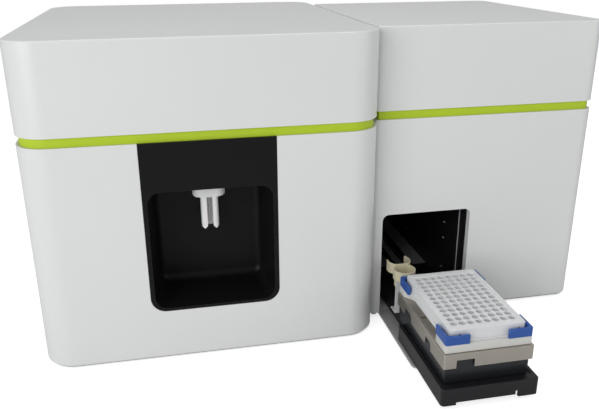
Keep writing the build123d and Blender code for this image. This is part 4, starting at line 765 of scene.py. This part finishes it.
def make_floor():
    """Lay a pale floor that shows plain white and keeps a soft shadow."""
    bm = bmesh.new()
    bmesh.ops.create_grid(bm, x_segments=2, y_segments=2, size=FLOOR_REACH)
    mesh = bpy.data.meshes.new("floor")
    bm.to_mesh(mesh)
    bm.free()
    floor = bpy.data.objects.new("floor", mesh)
    floor.location.z = -FLOOR_DROP
    bpy.context.scene.collection.objects.link(floor)
    material = bpy.data.materials.new("Floor")
    material.use_nodes = True
    tree = material.node_tree
    link = tree.links.new
    shader = tree.nodes["Principled BSDF"]
    shader.inputs["Base Color"].default_value = (FLOOR_TONE, FLOOR_TONE, FLOOR_TONE, 1)
    shader.inputs["Roughness"].default_value = 0.9
    shader.inputs["Specular IOR Level"].default_value = 0.0
    glow = node(tree, "ShaderNodeEmission", in_Color=(1, 1, 1, 1), in_Strength=FLOOR_GLOW)
    both = node(tree, "ShaderNodeAddShader")
    path = node(tree, "ShaderNodeLightPath")
    mix = node(tree, "ShaderNodeMixShader")
    link(shader.outputs[0], both.inputs[0])
    link(glow.outputs[0], both.inputs[1])
    link(path.outputs["Is Camera Ray"], mix.inputs["Fac"])
    link(shader.outputs[0], mix.inputs[1])
    link(both.outputs[0], mix.inputs[2])
    link(mix.outputs[0], tree.nodes["Material Output"].inputs["Surface"])
    mesh.materials.append(material)


def make_lamp(name, place, target, size, power):
    """Hang a square soft light that faces the object."""
    data = bpy.data.lights.new(name, "AREA")
    data.shape = "SQUARE"
    data.size = size
    data.energy = power
    lamp = bpy.data.objects.new(name, data)
    lamp.location = place
    lamp.rotation_mode = "QUATERNION"
    lamp.rotation_quaternion = (Vector(target) - Vector(place)).to_track_quat("-Z", "Y")
    bpy.context.scene.collection.objects.link(lamp)


class CYTOMETER_OT_cases(bpy.types.Operator):
    """Finish the shells, lids, bands, pans, feet and hinges"""

    bl_idname = "cytometer.cases"
    bl_label = "Cases"

    def execute(self, context):
        scene = context.scene
        case = scene.case_finish
        dress_all(scene, ("main_shell", "loader_shell", "main_lid", "loader_lid"), case.edge)
        dress_all(scene, ("lid_bands", "base_pans", "link_plate", "rubber_feet"), case.fine_edge)
        dress_all(scene, ("hinge_leaves", "main_lid_hinges", "loader_lid_hinges"), case.fine_edge)
        hinge_screws(scene)
        return {"FINISHED"}


def hinge_screws(scene):
    """Fasten every hinge leaf with two screws."""
    size, inset, height = 1.9 * MM, 75.0 * MM, 16.0 * MM
    spacing, proud = 6.0 * MM, 1.45 * MM
    for shell, lid in (("main_shell", "main_lid"), ("loader_shell", "loader_lid")):
        low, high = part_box(shell)
        lid_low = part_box(lid)[0]
        face = high.y + proud
        fixed, moving = [], []
        for x in (low.x + inset, high.x - inset):
            for side in (-spacing, spacing):
                fixed.append((Vector((x + side, face, high.z - height)), BACK, size))
                moving.append((Vector((x + 2 * side, face, lid_low.z + height)), BACK, size))
        steel = ground_steel(scene)
        scatter(f"{shell}_hinge_screws", screw_mesh(), fixed, steel, "root")
        scatter(f"{lid}_hinge_screws", screw_mesh(), moving, steel, NODE_BODY[lid])


def tunnel_screws(scene):
    """Fasten the tunnel's right wall from inside, and lay a pale strip on its inner seam as a painted
    highlight.
    """
    head, proud, seam, setback = 1.8 * MM, 1.55 * MM, 0.7 * MM, 18.5 * MM
    seam_low, seam_drop = 24.0 * MM, 8.0 * MM
    low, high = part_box("loader_liner")
    wall = high.x - proud
    places = [
        (Vector((wall, low.y + depth * MM, low.z + rise * MM)), LEFT, head)
        for depth in (63.7, 200.0)
        for rise in (20.5, 63.5, 85.5)
    ]
    scatter("tunnel_screws", screw_mesh(), places, ground_steel(scene), "root")
    # A thin pale strip on the black wall: a painted highlight where the seam's edge catches the light.
    bm = bmesh.new()
    front = low.y + setback
    add_slab(
        bm, (wall - seam, front, low.z + seam_low), (wall, front + seam, high.z - seam_drop)
    )
    add_piece("tunnel_seam", bm, painted_sheet(scene), "root")


class CYTOMETER_OT_port(bpy.types.Operator):
    """Finish the fascia with its alcove, the tube guard and the sample probe with its lift"""

    bl_idname = "cytometer.port"
    bl_label = "Sample port"

    def execute(self, context):
        scene = context.scene
        case = scene.case_finish
        dress("front_fascia", scene, case.edge)
        dress("tube_guard", scene, case.edge)
        guard_collar(scene)
        dress_all(scene, ("probe_lift", "probe_carrier", "sample_probe"), case.fine_edge)
        return {"FINISHED"}


def guard_collar(scene):
    """Carry the guard's flange up to the sloping roof of the alcove."""
    low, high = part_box("tube_guard")
    middle = (low + high) / 2
    corner, neck = 10.0 * MM, 8.1 * MM
    half_x, half_y = (high.x - low.x) / 2 - corner, (high.y - low.y) / 2 - corner
    seat, roof, roof_slope = low.z + 43.0 * MM, low.z + 52.2 * MM, 0.21
    turns = [
        radians(45 + 90 * quarter + 10 * step) for quarter in range(4) for step in range(-4, 5)
    ]
    bm = bmesh.new()

    def ring(reach_x, reach_y, radius, under_roof):
        loop = []
        for t in turns:
            x = middle.x + copysign(reach_x, cos(t)) + radius * cos(t)
            y = middle.y + copysign(reach_y, sin(t)) + radius * sin(t)
            height = roof - roof_slope * (y - low.y) if under_roof else seat
            loop.append(bm.verts.new((x, y, height)))
        return loop

    flange = [ring(half_x, half_y, corner, under_roof) for under_roof in (False, True)]
    bore = [ring(0.0, 0.0, neck, under_roof) for under_roof in (True, False)]
    skin_loops(bm, [*flange, *bore, flange[0]])
    bmesh.ops.recalc_face_normals(bm, faces=bm.faces)
    add_piece("guard_collar", bm, guard_white(scene), "root")


class CYTOMETER_OT_loader_mouth(bpy.types.Operator):
    """Finish the door and the black tunnel behind the loader mouth"""

    bl_idname = "cytometer.loader_mouth"
    bl_label = "Loader mouth"

    def execute(self, context):
        scene = context.scene
        case = scene.case_finish
        dress_all(scene, ("tray_door", "door_ears", "loader_liner"), case.fine_edge)
        tunnel_screws(scene)
        return {"FINISHED"}


class CYTOMETER_OT_tray(bpy.types.Operator):
    """Finish the tray, its carriage, the plate holder with its guides and the tube holder"""

    bl_idname = "cytometer.tray"
    bl_label = "Tray"

    def execute(self, context):
        scene = context.scene
        case = scene.case_finish
        dress("tray_base", scene, case.edge)
        dress("tray_block", scene, case.edge, block_dark)
        dress("steel_carriage", scene, case.edge)
        dress("plate_holder", scene, case.fine_edge)
        dress("plate_corners", scene, case.fine_edge)
        make_tube_holder(scene)
        dress("holder_bracket", scene, case.fine_edge, reshape=raise_bracket)
        guide_screws(scene)
        return {"FINISHED"}


def raise_bracket(bm):
    """Lengthen the tube holder's bracket up to the foot of its post."""
    growth, edge_height = 9.0 * MM, MM
    top = max(point.co.z for point in bm.verts)
    for point in bm.verts:
        if point.co.z > top - edge_height:
            point.co.z += growth


def make_tube_holder(scene):
    """Make the rinse tube's cup on its post, with a horned clip behind it."""
    low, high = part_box("tube_holder")
    cup, wall, clip, rise = 13.0 * MM, 1.8 * MM, 12.5 * MM, 2.0 * MM
    cup_height, cup_depth = 12 * MM, 10.5 * MM
    post_left, post_right, post_depth, post_low = 12.0 * MM, 6.0 * MM, 5.0 * MM, 20 * MM
    bite, clip_setback, clip_height = 0.1 * MM, 21.0 * MM, 13.0 * MM
    x, y, top = high.x - cup, low.y + cup, high.z - rise
    turns = [radians(10 * step) for step in range(36)]
    bm = bmesh.new()
    rows = (
        (cup, top - cup_height), (cup, top), (cup - wall, top), (cup - wall, top - cup_depth)
    )
    loops = [[bm.verts.new((x + r * cos(t), y + r * sin(t), z)) for t in turns] for r, z in rows]
    skin_loops(bm, loops)
    for loop in (loops[0], loops[-1]):
        bm.faces.new(loop)
    post_high = top - (cup_height - bite)
    add_slab(bm, (x - post_left, y - post_depth, top - post_low), (x - post_right, y, post_high))
    clip_wall(bm, Vector((x, y + clip_setback, 0)), clip, high.z - clip_height, high.z)
    bmesh.ops.recalc_face_normals(bm, faces=bm.faces)
    edge, slot = scene.case_finish.fine_edge, NODE_SLOT["tube_holder"]
    piece = add_piece("tube_holder_cup", bm, cream_nylon(scene), "tray", edge)
    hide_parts("tube_holder")


def clip_wall(bm, centre, reach, low, high):
    """Sweep the clip's wall: a left horn, a straight web behind the cup, a longer right horn."""
    wall, flare = 1.6 * MM, 1.4 * MM
    left_tip, left_end = radians(162), radians(238)
    right_start, right_tip = radians(302), radians(402)
    known = len(bm.verts)

    def upright(turn):
        foot = [reach * cos(turn), reach * sin(turn)]
        return [bm.verts.new(centre + Vector((*foot, height))) for height in (low, high)]

    def arc(start, end):
        ends = upright(start)
        line = bm.edges.new(ends)
        turned = bmesh.ops.spin(
            bm, geom=[*ends, line], cent=centre, axis=UP, angle=end - start, steps=10,
            use_duplicate=False,
        )
        return ends, [item for item in turned["geom_last"] if isinstance(item, bmesh.types.BMVert)]

    left = arc(left_tip, left_end)[1]
    right = arc(right_start, right_tip)[0]
    lower = [min(pair, key=lambda point: point.co.z) for pair in (left, right)]
    upper = [max(pair, key=lambda point: point.co.z) for pair in (left, right)]
    bm.faces.new((lower[0], lower[1], upper[1], upper[0]))
    bm.verts.ensure_lookup_table()
    strip = set(bm.verts[known:])
    for point in strip:
        away = point.co - centre
        if away.y > 0:
            away.z = 0
            point.co += away.normalized() * flare * (away.y / reach) ** 2
    faces = [face for face in bm.faces if strip.issuperset(face.verts)]
    bmesh.ops.solidify(bm, geom=faces, thickness=wall)


def guide_screws(scene):
    """Sink two small screws into each blue guide."""
    low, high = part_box("plate_corners")
    near, far, sunk, head = 1.95 * MM, 15.0 * MM, 0.1 * MM, 1.1 * MM
    places = []
    for x, into_x in ((low.x, 1), (high.x, -1)):
        for y, into_y in ((low.y, 1), (high.y, -1)):
            for across, along in ((near, far), (far, near)):
                spot = Vector((x + into_x * across, y + into_y * along, high.z - sunk))
                places.append((spot, UP, head))
    scatter("guide_screws", screw_mesh(), places, anodised(scene), "tray")


# The microplate: a standard grid of wells
PITCH = 9.0 * MM
COLUMNS = 8
ROWS = 12
WELL_SIDES = 24
SIDE_STEPS = [PITCH / 2 * tan(radians(-45 + 15 * step)) for step in range(6)]


def well_cell(bm, centre, deck, under, rim, floor, wall):
    """Add one square of the plate's deck with its well, above and below."""
    turns = [radians(15 * step) for step in range(WELL_SIDES)]

    def ring(radius, height):
        loop = []
        for t in turns:
            x, y = centre[0] + radius * cos(t), centre[1] + radius * sin(t)
            loop.append(bm.verts.new((x, y, height)))
        return loop

    def square(height):
        corners = []
        for t in turns:
            reach = PITCH / 2 / max(abs(cos(t)), abs(sin(t)))
            x, y = centre[0] + reach * cos(t), centre[1] + reach * sin(t)
            corners.append(bm.verts.new((x, y, height)))
        return corners

    inner = 3.45 * MM
    rim_foot, rim_top, lip, lip_drop, draft = 0.5 * MM, 0.45 * MM, 0.1 * MM, 0.15 * MM, 0.15 * MM
    outer_top, outer_foot = 0.7 * MM, 0.5 * MM
    above = [
        square(deck), ring(inner + rim_foot, deck), ring(inner + rim_top, rim),
        ring(inner + lip, rim), ring(inner, rim - lip_drop), ring(inner - draft, floor),
    ]
    below = [
        square(under), ring(inner + outer_top, under), ring(inner + outer_foot, floor - wall)
    ]
    for loops in (above, below):
        skin_loops(bm, loops)
        bm.faces.new(loops[-1])


def skin_loops(bm, loops):
    """Join closed loops of equal length by faces."""
    for first, second in zip(loops, loops[1:]):
        for index in range(len(first)):
            after = (index + 1) % len(first)
            bm.faces.new((first[index], first[after], second[after], second[index]))


def deck_outline():
    """Give the points round the deck's grid, in order, from its middle."""
    half_x, half_y = COLUMNS * PITCH / 2, ROWS * PITCH / 2
    across = [(i + 0.5) * PITCH - half_x + step for i in range(COLUMNS) for step in SIDE_STEPS]
    along = [(i + 0.5) * PITCH - half_y + step for i in range(ROWS) for step in SIDE_STEPS]
    front = [(x, -half_y) for x in across]
    right = [(half_x, y) for y in along]
    back = [(-x, half_y) for x in across]
    left = [(-half_x, -y) for y in along]
    return front + right + back + left


def spread(point, half_x, half_y, corner):
    """Move a point of the deck's outline out to a larger rounded rectangle."""
    x = point[0] * half_x / (COLUMNS * PITCH / 2)
    y = point[1] * half_y / (ROWS * PITCH / 2)
    over_x, over_y = abs(x) - (half_x - corner), abs(y) - (half_y - corner)
    if over_x > 0 and over_y > 0:
        pull = corner / hypot(over_x, over_y)
        x = copysign(half_x - corner + over_x * pull, x)
        y = copysign(half_y - corner + over_y * pull, y)
    return x, y


def make_microplate(scene):
    """Make the clear plate: a stepped skirt under a deck with thin-walled wells."""
    tray = scene.tray_finish
    low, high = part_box("microplate")
    middle = (low + high) / 2
    half_x, half_y = (high.x - low.x) / 2, (high.y - low.y) / 2
    step, flange, wall, margin = 1.6 * MM, 2.5 * MM, tray.wall, 2 * MM
    deck_drop, well_depth, well_floor = 0.8 * MM, 10.7 * MM, 1.0 * MM
    outer_corner, skirt_corner, inner_corner = 3.2 * MM, 2.4 * MM, 2.0 * MM
    deck = high.z - deck_drop
    under = deck - wall
    floor = high.z - well_depth
    bm = bmesh.new()
    for column in range(COLUMNS):
        for row in range(ROWS):
            place = (
                middle.x + (column - (COLUMNS - 1) / 2) * PITCH,
                middle.y + (row - (ROWS - 1) / 2) * PITCH,
            )
            well_cell(bm, place, deck, under, deck + tray.rim, floor, well_floor)
    grid_x, grid_y = COLUMNS * PITCH / 2, ROWS * PITCH / 2
    outline = deck_outline()
    rows = (
        (grid_x, grid_y, 0.0, deck),
        (grid_x + margin, grid_y + margin, inner_corner, deck),
        (grid_x + margin, grid_y + margin, inner_corner, high.z),
        (half_x - step, half_y - step, outer_corner, high.z),
        (half_x - step, half_y - step, outer_corner, low.z + flange),
        (half_x, half_y, outer_corner, low.z + flange),
        (half_x, half_y, outer_corner, low.z),
        (half_x - wall, half_y - wall, skirt_corner, low.z),
        (half_x - wall, half_y - wall, skirt_corner, low.z + flange - wall),
        (half_x - step - wall, half_y - step - wall, inner_corner, low.z + flange),
        (half_x - step - wall, half_y - step - wall, inner_corner, under),
        (grid_x, grid_y, 0.0, under),
    )
    loops = []
    for reach_x, reach_y, corner, height in rows:
        loop = []
        for point in outline:
            x, y = spread(point, reach_x, reach_y, corner)
            loop.append(bm.verts.new((middle.x + x, middle.y + y, height)))
        loops.append(loop)
    skin_loops(bm, loops)
    bmesh.ops.remove_doubles(bm, verts=bm.verts, dist=0.01 * MM)
    bmesh.ops.recalc_face_normals(bm, faces=bm.faces)
    clear = clear_plate(scene)
    piece = add_piece("microplate_clear", bm, clear, "plate", corner_angle=radians(30))
    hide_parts("microplate")


class CYTOMETER_OT_plate(bpy.types.Operator):
    """Make the clear plate with its thin-walled wells"""

    bl_idname = "cytometer.plate"
    bl_label = "Microplate"

    def execute(self, context):
        make_microplate(context.scene)
        return {"FINISHED"}


class CYTOMETER_OT_drives(bpy.types.Operator):
    """Finish the tray drive and the needle gantry"""

    bl_idname = "cytometer.drives"
    bl_label = "Drives"

    def execute(self, context):
        scene = context.scene
        fine = scene.case_finish.fine_edge
        drive = "tray_rails", "tray_runners", "screw_nut", "screw_support", "lead_screw"
        gantry = "needle_bridge", "needle_carrier", "loader_needle", "wash_station"
        dress_all(scene, (*drive, "tray_motor", *gantry), fine)
        return {"FINISHED"}


class CYTOMETER_OT_optics(bpy.types.Operator):
    """Finish the optical bench and what stands on it"""

    bl_idname = "cytometer.optics"
    bl_label = "Optics"

    def execute(self, context):
        scene = context.scene
        fine = scene.case_finish.fine_edge
        beam = "optical_bench", "flow_cell", "cuvette", "lasers", "collection_lens"
        dress_all(scene, (*beam, "filter_mounts", "detectors", "optics_cover"), fine)
        cover_screws(scene)
        filter_panes(scene)
        return {"FINISHED"}


def cover_screws(scene):
    """Fasten the optics cover at its corners and the middles of its long sides."""
    low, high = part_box("optics_cover")
    inset, sunk = 12.0 * MM, 0.1 * MM
    places = [
        (Vector((x, y, high.z - sunk)), UP, scene.works_finish.screw)
        for x in (low.x + inset, (low.x + high.x) / 2, high.x - inset)
        for y in (low.y + inset, high.y - inset)
    ]
    scatter("cover_screws", screw_mesh(), places, ground_steel(scene), "root")


def filter_panes(scene):
    """Set a pane of filter glass into the window of each filter mount."""
    low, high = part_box("filter_mounts")
    count, mount_width, inset, window_height = 4, 21.9203 * MM, 10.96 * MM, 38.0 * MM
    half, half_thick = 8.2 * MM, 0.6 * MM
    pitch = (high.x - low.x - mount_width) / (count - 1)
    bm = bmesh.new()
    for index in range(count):
        centre = Vector((low.x + inset + index * pitch, (low.y + high.y) / 2, low.z + window_height))
        known = len(bm.verts)
        add_slab(bm, (-half, -half_thick, -half), (half, half_thick, half))
        bm.verts.ensure_lookup_table()
        place = Matrix.Translation(centre) @ Matrix.Rotation(radians(45), 4, "Z")
        bmesh.ops.transform(bm, matrix=place, verts=bm.verts[known:])
    add_piece("filter_panes", bm, filter_glass(scene), "root")


class CYTOMETER_OT_fluidics(bpy.types.Operator):
    """Finish the syringe pump, the valves and the filter"""

    bl_idname = "cytometer.fluidics"
    bl_label = "Fluidics"

    def execute(self, context):
        scene = context.scene
        fine = scene.case_finish.fine_edge
        syringe = "syringe_pump", "syringe_barrel", "syringe_plunger"
        dress_all(scene, (*syringe, "valve_block", "sheath_filter"), fine)
        return {"FINISHED"}


class CYTOMETER_OT_rear(bpy.types.Operator):
    """Finish the rear panels, fans, sockets, boards and the power supply"""

    bl_idname = "cytometer.rear"
    bl_label = "Rear and electrics"

    def execute(self, context):
        scene = context.scene
        fine = scene.case_finish.fine_edge
        cooling = "rear_panels", "fan_frames", "main_fan_rotor", "loader_fan_rotor"
        services = "power_entry", "power_rocker", "data_sockets", "hose_fittings"
        dress_all(scene, (*cooling, *services, "circuit_boards", "power_supply"), fine)
        panel_screws(scene)
        return {"FINISHED"}


def panel_screws(scene):
    """Fasten the rear panels through the backs of both shells."""
    inset, sunk, foot, head = 39.0 * MM, 0.05 * MM, 25.0 * MM, scene.works_finish.screw
    places = []
    for shell in ("main_shell", "loader_shell"):
        low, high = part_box(shell)
        left, right = low.x + inset, high.x - inset
        for x in (left, (left + right) / 2, right):
            places.append((Vector((x, high.y - sunk, low.z + foot)), BACK, head))
        for x in (left, right):
            for rise in (90.0 * MM, 160.0 * MM, 225.0 * MM):
                places.append((Vector((x, high.y - sunk, low.z + rise)), BACK, head))
    scatter("panel_screws", screw_mesh(), places, ground_steel(scene), "root")


class CYTOMETER_PT_panel(bpy.types.Panel):
    """List the steps that make the object"""

    bl_idname = "CYTOMETER_PT_panel"
    bl_label = "Flow cytometer"
    bl_space_type = "VIEW_3D"
    bl_region_type = "UI"
    bl_category = "Cytometer"

    def draw(self, context):
        for step in STEPS:
            self.layout.operator(step.bl_idname)


STEPS = (
    CYTOMETER_OT_stage,
    CYTOMETER_OT_cases,
    CYTOMETER_OT_port,
    CYTOMETER_OT_loader_mouth,
    CYTOMETER_OT_tray,
    CYTOMETER_OT_plate,
    CYTOMETER_OT_drives,
    CYTOMETER_OT_optics,
    CYTOMETER_OT_fluidics,
    CYTOMETER_OT_rear,
)
SETTINGS = {
    "case_finish": CaseFinish,
    "tray_finish": TrayFinish,
    "works_finish": WorksFinish,
    "studio_setup": StudioSetup,
}


def register():
    """Register the settings, the steps and the panel."""
    for name, group in SETTINGS.items():
        bpy.utils.register_class(group)
        setattr(bpy.types.Scene, name, PointerProperty(type=group))
    for step in (*STEPS, CYTOMETER_PT_panel):
        bpy.utils.register_class(step)


def unregister():
    """Remove the panel, the steps and the settings."""
    for step in reversed((*STEPS, CYTOMETER_PT_panel)):
        bpy.utils.unregister_class(step)
    for name, group in SETTINGS.items():
        delattr(bpy.types.Scene, name)
        bpy.utils.unregister_class(group)


def main():
    """Run every step."""
    register()
    for step in STEPS:
        getattr(bpy.ops.cytometer, step.bl_idname.split(".")[1])()


if __name__ == "__main__":
    main()
